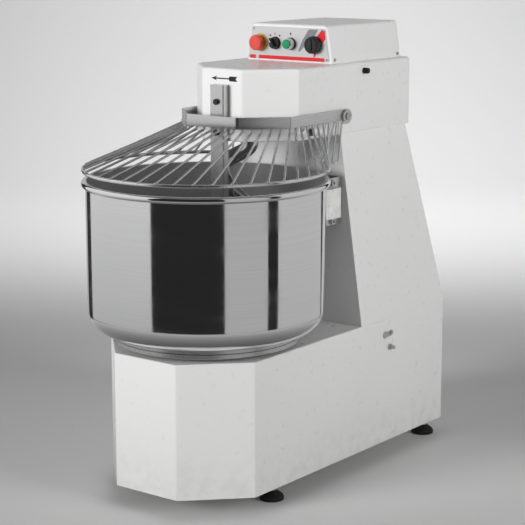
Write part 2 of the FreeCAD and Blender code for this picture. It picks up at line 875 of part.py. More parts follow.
def make_turntable():
    z0 = turntable_bottom_z
    z1 = bowl_bottom_z
    step = z0 + turntable_thickness / 2.0
    r = turntable_radius
    table = turned([
        (bowl_shaft_radius, z0), (r - 1, z0), (r, z0 + 1), (r, step - 1), (r - 2, step),
        (r, step + 1), (r, z1), (bowl_shaft_radius, z1),
    ])
    table = table.cut(tube(r - 14, 70, z0 - 1, step - 2))
    for i in range(6):
        angle = math.radians(60 * i)
        x = 48 * math.cos(angle)
        y = 48 * math.sin(angle)
        table = table.cut(upright(4.5, z0 - 1, z1 + 1, y, x))
    save("bowl_turntable", table)


def make_bowl_drive():
    bottom = bowl_belt_z - 22.0
    shaft = upright(bowl_shaft_radius, bottom, bowl_bottom_z)
    save("bowl_shaft", shaft)
    save("bowl_pulley", pulley(bowl_pulley_radius, bowl_shaft_radius, bowl_belt_z, 0.0))
    low = deck_bottom_z - 100.0
    lip = bowl_shaft_radius + 1.5
    outer = bowl_housing_radius
    housing = turned([
        (bowl_bearing_radius, low), (outer, low), (outer, deck_bottom_z - 10),
        (outer + 30, deck_bottom_z - 10),
        (outer + 30, deck_bottom_z), (outer, deck_bottom_z), (outer, deck_top_z + 2), (lip, deck_top_z + 2),
        (lip, deck_bottom_z - 1), (bowl_bearing_radius, deck_bottom_z - 1),
    ])
    for i in range(6):
        angle = math.radians(60 * i + 30)
        x = (outer + 17) * math.cos(angle)
        y = (outer + 17) * math.sin(angle)
        housing = housing.cut(upright(4.5, deck_bottom_z - 15, deck_bottom_z + 1, y, x))
    save("bowl_bearing_housing", housing)
    upper = bearing(bowl_shaft_radius, bowl_bearing_radius, deck_bottom_z - 21, deck_bottom_z - 1, 0.0)
    lower = bearing(bowl_shaft_radius, bowl_bearing_radius, low + 2, low + 22, 0.0)
    spacer = tube(bowl_bearing_radius, bowl_bearing_radius - 4, low + 22, deck_bottom_z - 21)
    foot_low = floor_plate_top_z + 6
    foot = bearing(layshaft_radius, layshaft_bearing_radius, foot_low, foot_low + 20, layshaft_y)
    save("lower_bearings", upper, lower, spacer, foot)
    save("bowl_belt", belt(0.0, bowl_pulley_radius, layshaft_y, bowl_pinion_radius, bowl_belt_z))


# ---------------------------------------------------------------- layshaft, motor, spiral shaft
def layshaft_block(z0):
    """A round flanged block whose foot stands on z0."""
    bore = layshaft_bearing_radius
    lip = layshaft_radius + 2.0
    block = turned([
        (lip, z0), (bore + 22, z0), (bore + 22, z0 + 8), (bore + 8, z0 + 8), (bore + 8, z0 + 28),
        (bore, z0 + 28), (bore, z0 + 6), (lip, z0 + 6),
    ], layshaft_y)
    for i in range(4):
        angle = math.radians(90 * i + 45)
        x = (bore + 15) * math.cos(angle)
        y = layshaft_y + (bore + 15) * math.sin(angle)
        block = block.cut(upright(3.3, z0 - 1, z0 + 12, y, x))
    return block


def make_layshaft():
    bottom = floor_plate_top_z + 4.0
    top = spiral_belt_z + 22.0
    save("layshaft", upright(layshaft_radius, bottom, top, layshaft_y))
    save("layshaft_drive_pulley", pulley(drive_pulley_radius, layshaft_radius, motor_belt_z, layshaft_y))
    pinion = turned([
        (layshaft_radius, bowl_belt_z - 14), (bowl_pinion_radius + 4, bowl_belt_z - 14),
        (bowl_pinion_radius + 4, bowl_belt_z - 13), (bowl_pinion_radius, bowl_belt_z - 13),
        (bowl_pinion_radius, bowl_belt_z + 13), (bowl_pinion_radius + 4, bowl_belt_z + 13),
        (bowl_pinion_radius + 4, bowl_belt_z + 15), (layshaft_radius, bowl_belt_z + 15),
    ], layshaft_y)
    save("layshaft_bowl_pulley", pinion)
    head_pulley = pulley(layshaft_head_pulley_radius, layshaft_radius, spiral_belt_z, layshaft_y)
    save("layshaft_spiral_pulley", head_pulley)
    save("layshaft_bearing_blocks", layshaft_block(floor_plate_top_z), layshaft_block(head_floor_z))


def make_spiral_drive():
    y = spiral_shaft_y
    outer = spiral_housing_radius
    bore = spiral_bearing_radius
    low = head_bottom_z - 6.0
    top = head_floor_z + 36.0
    lip = spiral_shaft_radius + 1.0
    housing = turned([
        (lip, low), (outer, low), (outer, head_floor_z),
        (outer + 24, head_floor_z), (outer + 24, head_floor_z + 9),
        (outer, head_floor_z + 9), (outer, top), (bore, top), (bore, low + 3), (lip, low + 3),
    ], y)
    for i in range(6):
        angle = math.radians(60 * i)
        x = (outer + 14) * math.cos(angle)
        bolt_y = y + (outer + 14) * math.sin(angle)
        housing = housing.cut(upright(3.5, head_floor_z - 1, head_floor_z + 12, bolt_y, x))
    save("spiral_bearing_housing", housing)
    lower = bearing(spiral_shaft_radius, bore, low + 3, low + 20, y)
    upper = bearing(spiral_shaft_radius, bore, top - 18, top - 1, y)
    spacer = tube(bore, bore - 3, low + 20, top - 18, y)
    head = bearing(layshaft_radius, layshaft_bearing_radius, head_floor_z + 6, head_floor_z + 26, layshaft_y)
    save("head_bearings", lower, upper, spacer, head)
    save("spiral_shaft", upright(spiral_shaft_radius, low - 2, spiral_belt_z + 24, y))
    save("spiral_pulley", pulley(spiral_pulley_radius, spiral_shaft_radius, spiral_belt_z, y))
    save("spiral_belt", belt(y, spiral_pulley_radius, layshaft_y, layshaft_head_pulley_radius, spiral_belt_z))

    points = [(0, y, low - 2), (0, y, hook_bend_z)]
    for i in range(1, hook_steps + 1):
        share = i / hook_steps
        angle = math.pi + 2 * math.pi * hook_turns * share
        radius = hook_radius * math.sin(math.pi / 2 * min(1.0, share / hook_flare_share))
        z = hook_start_z + (hook_end_z - hook_start_z) * share
        points.append((radius * math.cos(angle), y + radius * math.sin(angle), z))
    hook = bent_rod(points, 200.0, hook_bar_radius)
    tip = Part.makeSphere(hook_bar_radius, Vector(*points[-1]))
    save("spiral_hook", hook.fuse(tip))


def make_motor():
    y = motor_y
    plate_z = motor_plate_z
    flange_z = plate_z + motor_plate_thickness
    half = motor_plate_half_width
    plate = box(-half, half, y - 72, y + 84, plate_z, flange_z)
    for side in (-1, 1):
        leg = box(half - 6, half, y - 72, y + 84, floor_plate_top_z, plate_z)
        foot = box(half - 30, half, y - 72, y + 84, floor_plate_top_z, floor_plate_top_z + 6)
        leg = leg.fuse(foot)
        plate = plate.fuse(leg if side > 0 else mirrored_x(leg))
    plate = plate.removeSplitter()
    plate = plate.cut(upright(motor_spigot_radius, plate_z - 1, flange_z + 1, y))
    save("motor_plate", plate)

    body_top = flange_z + motor_length
    core = motor_radius - 8.0
    inner = rotor_radius + 0.6
    shaft_hole = motor_shaft_radius + running_clearance
    housing = turned([
        (shaft_hole, plate_z), (motor_spigot_radius, plate_z), (motor_spigot_radius, flange_z),
        (motor_radius + 10, flange_z), (motor_radius + 10, flange_z + 9), (core, flange_z + 9),
        (core, body_top), (shaft_hole, body_top), (shaft_hole, body_top - 10), (inner, body_top - 10),
        (inner, flange_z + 16), (shaft_hole, flange_z + 16),
    ], y)
    fins = []
    for i in range(motor_fins):
        fin = box(core - 2, motor_radius, -1.5, 1.5, flange_z + 16, body_top - 8)
        fin.rotate(Vector(0, 0, 0), Vector(0, 0, 1), 360.0 * i / motor_fins)
        fin.translate(Vector(0, y, 0))
        fins.append(fin)
    terminal = box(-38, 38, y - motor_radius - 22, y - core + 4, flange_z + 70, flange_z + 140)
    housing = housing.fuse(fins + [terminal]).removeSplitter()
    hollow = upright(inner, flange_z + 17, body_top - 11, y)
    save("motor_housing", housing.cut(hollow))

    fan_room = 40.0
    cover = upright(motor_radius - 4, body_top, body_top + fan_room, y)
    cover = cover.cut(upright(motor_radius - 5.5, body_top - 1, body_top + fan_room - 1.5, y))
    for i in range(10):
        angle = math.radians(36 * i)
        x = 34 * math.cos(angle)
        hole_y = y + 34 * math.sin(angle)
        cover = cover.cut(upright(6, body_top + fan_room - 3, body_top + fan_room + 1, hole_y, x))
    save("motor_fan_cover", cover)

    shaft = upright(motor_shaft_radius, motor_belt_z - 18, body_top + fan_room - 8, y)
    rotor = upright(rotor_radius, flange_z + 22, body_top - 16, y)
    fan = [upright(18, body_top + 8, body_top + fan_room - 10, y)]
    for i in range(7):
        blade = box(10, motor_radius - 14, -1, 1, body_top + 8, body_top + fan_room - 12)
        blade.rotate(Vector(0, 0, 0), Vector(0, 0, 1), 360.0 * i / 7)
        blade.translate(Vector(0, y, 0))
        fan.append(blade)
    save("motor_rotor", joined([shaft, rotor] + fan))
    save("motor_pulley", pulley(motor_pulley_radius, motor_shaft_radius, motor_belt_z, y))
    save("motor_belt", belt(layshaft_y, drive_pulley_radius, y, motor_pulley_radius, motor_belt_z))


# ---------------------------------------------------------------- breaker bar, bowl steadies, small fittings
def make_breaker_bar():
    back = head_front_y
    front = back - bar_thickness
    half = bar_width / 2.0
    bar = box(-half, half, front, back, bar_bottom_z, bar_top_z)
    bar = round_edges(bar, 2.5, is_upright)
    holes = [along_y(bar_bolt_radius * 0.5, front - 1, back + 1, 0, z) for z in bar_bolt_z]
    for hole in holes:
        bar = bar.cut(hole)
    save("breaker_bar", bar)
    bolts = [hex_bolt_y(0, z, front, bar_bolt_radius, 5.0, bar_thickness + head_wall + 6) for z in bar_bolt_z]
    for side in (-1, 1):
        face = head_half_width
        head = along_x(8.0, side * face, side * (face + 3), side_bolt_y, side_bolt_z)
        shank = along_x(5.0, side * (face - 14), side * face, side_bolt_y, side_bolt_z)
        bolts.append(head.fuse(shank))
    save("head_bolts", *bolts)


def make_steadies():
    brackets = []
    pads = []
    inner = steady_x - steady_width / 2.0
    low = steady_low_z - 17.0
    high = steady_high_z + 20.0
    front = steady_front_y + 3.0
    screw_y = column_front_y - steady_screw_lead
    for side in (-1, 1):
        web = box(inner - 4, inner, front, column_front_y, low, high)
        flange = box(inner - 34, inner, column_front_y - 4, column_front_y, low, high)
        bracket = web.fuse(flange).removeSplitter()
        parts = []
        for x, z in steady_bolt_places():
            if x > 0:
                hole = along_y(steady_bolt_radius, column_front_y - 10, column_front_y + 1, x, z)
                bracket = bracket.cut(hole)
                parts.append(hex_bolt_y(x, z, column_front_y - 4, 7.0, 4.5, 16.0))
        for z in (low + 8, high - 10):
            bracket = bracket.cut(along_x(steady_screw_radius, inner - 8, inner + 1, screw_y, z))
            face = inner + steady_screw_head
            head = along_x(steady_screw_head_radius, inner, face, screw_y, z)
            shank = along_x(steady_screw_radius, inner - 12, inner, screw_y, z)
            socket = along_x(steady_socket_radius, face - 3, face + 1, screw_y, z)
            parts.append(head.fuse(shank).cut(socket))
        outer = inner + steady_width
        pad = box(inner, outer, steady_front_y - 40, steady_back_y, steady_low_z, steady_high_z)
        pad = pad.cut(upright(bowl_outer_radius + steady_clearance, steady_low_z - 1, steady_high_z + 1))
        pad = max(pad.Solids, key=lambda s: s.Volume)
        parts.append(bracket)
        if side < 0:
            parts = [mirrored_x(part) for part in parts]
            pad = mirrored_x(pad)
        brackets += parts
        pads.append(pad)
    save("steady_brackets", *brackets)
    save("steady_pads", *pads)


def make_fittings():
    gland = turned_y([
        (gland_bore_radius, base_back_y), (gland_radius + 3, base_back_y),
        (gland_radius + 3, base_back_y + 7),
        (gland_radius, base_back_y + 7), (gland_radius - 2, base_back_y + gland_length),
        (gland_bore_radius, base_back_y + gland_length),
    ], gland_x, gland_z)
    thread = turned_y([
        (gland_bore_radius, base_back_y - 12), (gland_radius - 4, base_back_y - 12),
        (gland_radius - 4, base_back_y), (gland_bore_radius, base_back_y),
    ], gland_x, gland_z)
    save("cable_gland", gland.fuse(thread).removeSplitter())

    face = base_half_width
    plate = along_x(8.0, face, face + 2, earth_y - 20, earth_screw_z - 2)
    plate = plate.fuse(along_x(6.0, face, face + 2, earth_screw_y, earth_screw_z))
    plate = plate.fuse(box(face, face + 2, earth_y - 20, earth_screw_y, earth_screw_z - 8, earth_screw_z + 4))
    plate = plate.removeSplitter().cut(along_x(3.0, face - 1, face + 3, earth_screw_y, earth_screw_z))
    screw = along_x(4.5, face + 2, face + 4.5, earth_screw_y, earth_screw_z)
    screw = screw.fuse(along_x(3.0, face - 9, face + 2, earth_screw_y, earth_screw_z))
    slot = box(face + 3.5, face + 5, earth_screw_y - 6, earth_screw_y + 6,
               earth_screw_z - 0.6, earth_screw_z + 0.6)
    nut = along_x(7.0, face, face + 5, earth_y, earth_z)
    stud = along_x(earth_stud_radius, face - 9, face + earth_stud_length, earth_y, earth_z)
    save("earth_terminal", plate, screw.cut(slot), nut.fuse(stud))

    bumpers = []
    for side in (-1, 1):
        cap_end = side * (head_half_width + bumper_length)
        cap = along_x(bumper_radius, side * head_half_width, cap_end, bumper_y, bumper_z)
        cap = cap.makeFillet(1.5, [cap.Edges[0]])
        stem = along_x(3.0, side * (head_half_width - 10), side * head_half_width, bumper_y, bumper_z)
        bumpers.append(cap.fuse(stem))
    save("guard_bumpers", *bumpers)


# ---------------------------------------------------------------- guard
def collar_plan(inset):
    cut = collar_half_width - collar_nose_half_width
    lean = inset * math.tan(math.radians(22.5))
    nose = collar_nose_half_width - lean
    front = collar_front_y + inset
    side_y = collar_front_y + cut + lean
    half = collar_half_width - inset
    return nose, front, side_y, half


def along_collar(distance, inset):
    """The point of the collar's plan line at a distance from its left rear wire."""
    nose, front, side_y, half = collar_plan(inset)
    corners = [
        Vector(-half, guard_wire_back_y, 0),
        Vector(-half, side_y, 0),
        Vector(-nose, front, 0),
        Vector(nose, front, 0),
        Vector(half, side_y, 0),
        Vector(half, guard_wire_back_y, 0),
    ]
    for a, b in zip(corners, corners[1:]):
        run = (b - a).Length
        if distance <= run + 1e-6:
            return a + (b - a) * (distance / run)
        distance -= run
    return corners[-1]


def collar_length(inset):
    nose, front, side_y, half = collar_plan(inset)
    return 2 * (guard_wire_back_y - side_y + nose + math.hypot(half - nose, side_y - front))


def make_guard():
    nose, front, side_y, half = collar_plan(0.0)
    back = guard_pivot_y
    top = collar_bottom_z + collar_height
    outer = prism([(-nose, front), (nose, front), (half, side_y),
                   (half, back), (-half, back), (-half, side_y)],
                  collar_bottom_z, top)
    nose, front, side_y, half = collar_plan(collar_thickness)
    inner = prism([(-nose, front), (nose, front), (half, side_y), (half, back + 5), (-half, back + 5),
                   (-half, side_y)], collar_bottom_z - 1, top + 1)
    collar = outer.cut(inner)
    inside = collar_half_width - collar_thickness
    outside = collar_half_width
    for side in (-1, 1):
        arm = box(inside, outside, guard_wire_back_y + 4, back, arm_bottom_z, top)
        boss = along_x(guard_boss_radius, inside - 1, outside + 3.5, guard_pivot_y, guard_pivot_z)
        end = arm.fuse(boss)
        collar = collar.fuse(end if side > 0 else mirrored_x(end))
    collar = collar.removeSplitter().cut(along_x(guard_pin_radius, -200, 200, guard_pivot_y, guard_pivot_z))
    save("guard_collar", collar)

    ring_face = Part.Face(Part.Wire(Part.makeCircle(
        guard_ring_wire_radius, Vector(guard_ring_radius, 0, guard_ring_z), Vector(0, 1, 0))))
    sweep = 360.0 - 2 * guard_ring_end_angle
    ring = ring_face.revolve(Vector(0, 0, 0), Vector(0, 0, 1), sweep)
    start_angle = 90.0 + guard_ring_end_angle
    ring.rotate(Vector(0, 0, 0), Vector(0, 0, 1), start_angle)
    save("guard_ring", ring)

    middle = collar_thickness / 2.0
    length = collar_length(middle)
    wires = []
    for i in range(guard_wire_count):
        share = i / (guard_wire_count - 1)
        top_point = along_collar(length * share, middle)
        angle = math.radians(start_angle + 1.0 + (sweep - 2.0) * share)
        foot = Vector(guard_ring_radius * math.cos(angle), guard_ring_radius * math.sin(angle), 0)
        wire = bent_rod([
            (top_point.x, top_point.y, collar_bottom_z),
            (top_point.x, top_point.y, collar_bottom_z - guard_wire_drop),
            (foot.x, foot.y, guard_ring_z + guard_nub_height),
            (foot.x, foot.y, guard_ring_z),
        ], guard_wire_bend, guard_wire_radius)
        wires.append(wire.cut(ring))
    for side in (-1, 1):
        x = side * (collar_half_width - middle)
        low = comb_depth_z + guard_wire_radius
        wires.append(bent_rod([
            (x, comb_top_front_y, arm_bottom_z), (x, comb_top_front_y, arm_bottom_z - 8),
            (x, comb_front_y, low),
            (x, comb_back_y, low), (x, comb_top_back_y, arm_bottom_z - 8), (x, comb_top_back_y, arm_bottom_z),
        ], 6.0, guard_wire_radius))
    save("guard_wires", *wires)

    pins = []
    bushes = []
    for side in (-1, 1):
        inner_end = guard_pin_inner_x
        pin = along_x(guard_pin_radius, inner_end, outside + 5.5, guard_pivot_y, guard_pivot_z)
        if side > 0:
            cam = along_x(guard_cam_radius, inner_end, inner_end + 8, guard_pivot_y, guard_pivot_z)
            pin = pin.fuse(cam)
        wall = head_half_width
        bore = guard_pin_radius + running_clearance
        bush = along_x(guard_bush_radius, wall - head_wall - 4, wall, guard_pivot_y, guard_pivot_z)
        bush = bush.fuse(along_x(guard_bush_radius + 3, wall, inside - 1.4, guard_pivot_y, guard_pivot_z))
        bush = bush.cut(along_x(bore, wall - 20, wall + 20, guard_pivot_y, guard_pivot_z))
        if side < 0:
            pin = mirrored_x(pin)
            bush = mirrored_x(bush)
        pins.append(pin)
        bushes.append(bush)
    save("guard_pins", *pins)
    save("guard_bushes", *bushes)

    reach = guard_pivot_y + guard_cam_radius + 0.4
    switch = box(guard_pin_inner_x - 8, guard_pin_inner_x + 16, reach + 6, reach + 34,
                 guard_pivot_z - 24, guard_pivot_z + 24)
    plunger = along_y(4.0, reach, reach + 6, guard_pin_inner_x + 4, guard_pivot_z)
    save("guard_switch", switch.fuse(plunger))


# ---------------------------------------------------------------- feet
def make_feet():
    studs = []
    bore = stud_radius + running_clearance
    seat = 7.0
    for name, x, y in (
        ("foot_front_left", -foot_x, foot_front_y),
        ("foot_front_right", foot_x, foot_front_y),
        ("foot_rear_left", -foot_x, foot_back_y),
        ("foot_rear_right", foot_x, foot_back_y),
    ):
        r = foot_radius
        pad = turned([
            (0, 0), (r - 1.5, 0), (r, 1.5), (r, 6), (r - 2, 10), (r - 7, 14), (13.5, foot_height - 2.5),
            (12, foot_height), (bore, foot_height), (bore, seat), (0, seat),
        ], y, x)
        save(name, pad)
        stud = upright(stud_radius, seat + 0.3, floor_plate_top_z + 16, y, x)
        for low, high in ((foot_height + 1.0, foot_height + 3.0),
                          (floor_plate_bottom_z - 8, floor_plate_bottom_z)):
            stud = stud.fuse(upright(11.0, low, high, y, x))
        studs.append(stud)
    save("foot_studs", *studs)


def main():
    os.makedirs("parts", exist_ok=True)
    make_base_shell()
    make_floor_plate()
    make_column_shell()
    make_rear_cover()
    make_head_shell()
    make_control_hood()
    make_control_panel()
    make_controls(hood_front_y - panel_thickness)
    make_bowl()
    make_turntable()
    make_bowl_drive()
    make_layshaft()
    make_spiral_drive()
    make_motor()
    make_breaker_bar()
    make_steadies()
    make_fittings()
    make_guard()
    make_feet()


main()
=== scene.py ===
from math import atan2, cos, degrees, hypot, pi, radians, sin, tan

import bmesh
import bpy
from mathutils import Matrix, Vector


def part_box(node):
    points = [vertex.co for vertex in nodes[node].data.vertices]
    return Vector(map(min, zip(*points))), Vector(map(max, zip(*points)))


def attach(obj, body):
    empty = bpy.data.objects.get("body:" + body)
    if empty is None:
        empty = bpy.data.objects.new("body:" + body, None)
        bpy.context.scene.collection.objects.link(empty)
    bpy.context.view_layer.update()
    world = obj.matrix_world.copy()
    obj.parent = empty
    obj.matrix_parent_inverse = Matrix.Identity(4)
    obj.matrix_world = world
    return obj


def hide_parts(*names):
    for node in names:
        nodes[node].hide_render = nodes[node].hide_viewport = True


# A fixed-head spiral dough mixer. Metres, +Z up, -Y towards the operator, floor at z = 0.
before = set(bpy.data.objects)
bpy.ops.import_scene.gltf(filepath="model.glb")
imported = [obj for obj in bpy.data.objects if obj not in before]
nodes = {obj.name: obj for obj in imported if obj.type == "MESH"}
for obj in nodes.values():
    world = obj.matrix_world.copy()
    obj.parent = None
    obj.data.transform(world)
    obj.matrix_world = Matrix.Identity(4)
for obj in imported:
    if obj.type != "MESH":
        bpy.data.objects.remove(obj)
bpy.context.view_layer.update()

# ---------------------------------------- places read from the frame
bowl_low, bowl_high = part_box("bowl")
bowl_y = (bowl_low.y + bowl_high.y) / 2
spiral_y = sum(corner.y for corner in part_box("spiral_shaft")) / 2
collar_low, collar_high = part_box("guard_collar")
ring_low, ring_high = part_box("guard_ring")
panel_low, panel_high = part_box("control_panel")
head_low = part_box("head_shell")[0]
stop_low, stop_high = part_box("estop_button")
start_low, start_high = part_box("start_button")
timer_low, timer_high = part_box("timer_knob")
ring_mark_low, ring_mark_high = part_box("estop_collar")
control_z = (ring_mark_low.z + ring_mark_high.z) / 2
panel_y = panel_low.y


# ---------------------------------------- camera and studio
camera_place = Vector((2.17609, -2.85301, 1.18375))
camera_aim = Vector((0.0567, -0.0807, 0.4790))


def make_camera():
    data = bpy.data.cameras.new("camera")
    data.sensor_width = 36.0
    data.lens = 114.0
    camera = bpy.data.objects.new("camera", data)
    bpy.context.scene.collection.objects.link(camera)
    camera.location = camera_place
    camera.rotation_mode = "QUATERNION"
    camera.rotation_quaternion = (camera_aim - camera_place).to_track_quat("-Z", "Y")
    bpy.context.scene.camera = camera


def stage_piece(name, bm, material):
    mesh = bpy.data.meshes.new(name)
    bm.to_mesh(mesh)
    bm.free()
    mesh.materials.append(material)
    piece = bpy.data.objects.new(name, mesh)
    bpy.context.scene.collection.objects.link(piece)
    return piece


def plain_paper():
    material = bpy.data.materials.new("studio_paper")
    material.use_nodes = True
    shader = material.node_tree.nodes["Principled BSDF"]
    shader.inputs["Base Color"].default_value = (0.86, 0.86, 0.86, 1)
    shader.inputs["Roughness"].default_value = 0.9
    shader.inputs["Specular IOR Level"].default_value = 0.1
    return material


def make_floor():
    """A pale floor that curves up into a backdrop behind the machine."""
    half_width = 12.0
    front = -9.0
    back = 7.5
    height = 7.0
    sweep = 3.5
    sunk = 0.0005
    square_to_camera = radians(37.4)
    bm = bmesh.new()
    line = [(-half_width, front, 0.0), (-half_width, back, 0.0), (-half_width, back, height)]
    bevelled(bm, drawn_out(bm, line, (2 * half_width, 0, 0)), sweep, 24)
    bm.transform(Matrix.Translation((0, 0, -sunk)) @ Matrix.Rotation(square_to_camera, 4, "Z"))
    floor = stage_piece("studio_floor", bm, plain_paper())
    floor.data.shade_smooth()


# Where each card of the ring starts, in degrees round from the camera, and its light at top and bottom.
ring_cards = [
    (-48.5, "black_card", 0.026, 0.020),
    (15.0, "near_right_card", 0.50, 0.46),
    (54.0, "thin_black_card", 0.024, 0.020),
    (64.5, "far_right_card", 0.60, 0.50),
    (131.0, "right_edge_card", 0.03, 0.03),
    (146.5, "back_card", 0.50, 0.40),
    (212.5, "left_edge_card", 0.03, 0.03),
    (227.4, "left_card", 0.84, 0.48),
]
ring_radius = 1.3
ring_bottom = 0.03
ring_top = 2.2


def glowing_card(name, start, stop, start_level, stop_level, across=False):
    """A card whose glow changes with height, or with the distance from the bowl's axis."""
    material = bpy.data.materials.new(name)
    material.use_nodes = True
    tree = material.node_tree
    tree.nodes.clear()
    coordinate = tree.nodes.new("ShaderNodeTexCoord")
    mapping = tree.nodes.new("ShaderNodeMapping")
    mapping.inputs["Location"].default_value = (0, -bowl_y, 0) if across else (0, 0, 0)
    mapping.inputs["Scale"].default_value = (1, 1, 0) if across else (0, 0, 1)
    length = tree.nodes.new("ShaderNodeVectorMath")
    length.operation = "LENGTH"
    fade = tree.nodes.new("ShaderNodeMapRange")
    fade.inputs["From Min"].default_value = start
    fade.inputs["From Max"].default_value = stop
    fade.inputs["To Min"].default_value = start_level
    fade.inputs["To Max"].default_value = stop_level
    glow = tree.nodes.new("ShaderNodeEmission")
    out = tree.nodes.new("ShaderNodeOutputMaterial")
    tree.links.new(coordinate.outputs["Object"], mapping.inputs["Vector"])
    tree.links.new(mapping.outputs["Vector"], length.inputs[0])
    tree.links.new(length.outputs["Value"], fade.inputs["Value"])
    tree.links.new(fade.outputs["Result"], glow.inputs["Strength"])
    tree.links.new(glow.outputs[0], out.inputs["Surface"])
    return material


def ring_card(name, top_level, bottom_level):
    return glowing_card(name, 0.05, 0.75, bottom_level, top_level)


def reflection_only(card):
    for kind in ("camera", "diffuse", "shadow", "transmission", "volume_scatter"):
        setattr(card, "visible_" + kind, False)


def make_reflection_ring():
    """Light and dark cards round the machine, and a dim one under it, seen only in reflections."""
    camera_azimuth = degrees(atan2(camera_place.y - bowl_y, camera_place.x))
    bm = bmesh.new()
    bottom = bm.verts.new((ring_radius, bowl_y, ring_bottom))
    top = bm.verts.new((ring_radius, bowl_y, ring_top))
    rail = bm.edges.new((bottom, top))
    bmesh.ops.spin(bm, geom=[bottom, top, rail], cent=(0, bowl_y, 0), axis=(0, 0, 1),
                   angle=2 * pi, steps=720, use_merge=True)
    first = ring_cards[0][0]
    for face in bm.faces:
        centre = face.calc_center_median()
        turn = degrees(atan2(centre.y - bowl_y, centre.x)) - camera_azimuth
        turn = (turn - first) % 360 + first
        face.material_index = max(i for i, card in enumerate(ring_cards) if card[0] <= turn)
    ring = stage_piece("studio_cards", bm, ring_card(*ring_cards[0][1:]))
    for card in ring_cards[1:]:
        ring.data.materials.append(ring_card(*card[1:]))
    reflection_only(ring)
    bm = bmesh.new()
    bmesh.ops.create_circle(bm, cap_ends=True, segments=96, radius=ring_radius,
                            matrix=Matrix.Translation((0, bowl_y, 0.002)))
    floor_card = glowing_card("floor_card", 0.3, ring_radius, 0.13, 0.50, across=True)
    reflection_only(stage_piece("studio_floor_card", bm, floor_card))


def add_softbox(name, place, aim, size, power, spread=180.0):
    data = bpy.data.lights.new(name, "AREA")
    data.shape = "SQUARE"
    data.size = size
    data.energy = power
    data.spread = radians(spread)
    lamp = bpy.data.objects.new(name, data)
    bpy.context.scene.collection.objects.link(lamp)
    lamp.location = place
    lamp.rotation_mode = "QUATERNION"
    lamp.rotation_quaternion = (Vector(aim) - Vector(place)).to_track_quat("-Z", "Y")
    lamp.visible_glossy = False
    return lamp


def make_lights():
    add_softbox("key_softbox", (-1.5, -4.3, 1.7), (0, 0, 1.1), 2.0, 20, 50.0)
    add_softbox("side_softbox", (4.4, 0.3, 1.9), (0, 0, 1.1), 2.2, 12, 50.0)
    add_softbox("top_softbox", (0.3, 0.6, 4.2), (0, 0, 0.8), 2.4, 2)
    add_softbox("backdrop_softbox", (-0.9, 1.7, 3.2), (-3.4, 5.0, 0.4), 2.0, 90, 130.0)
    world = bpy.data.worlds.new("studio_air")
    bpy.context.scene.world = world
    world.use_nodes = True
    background = world.node_tree.nodes["Background"]
    background.inputs["Color"].default_value = (1, 1, 1, 1)
    background.inputs["Strength"].default_value = 0.18


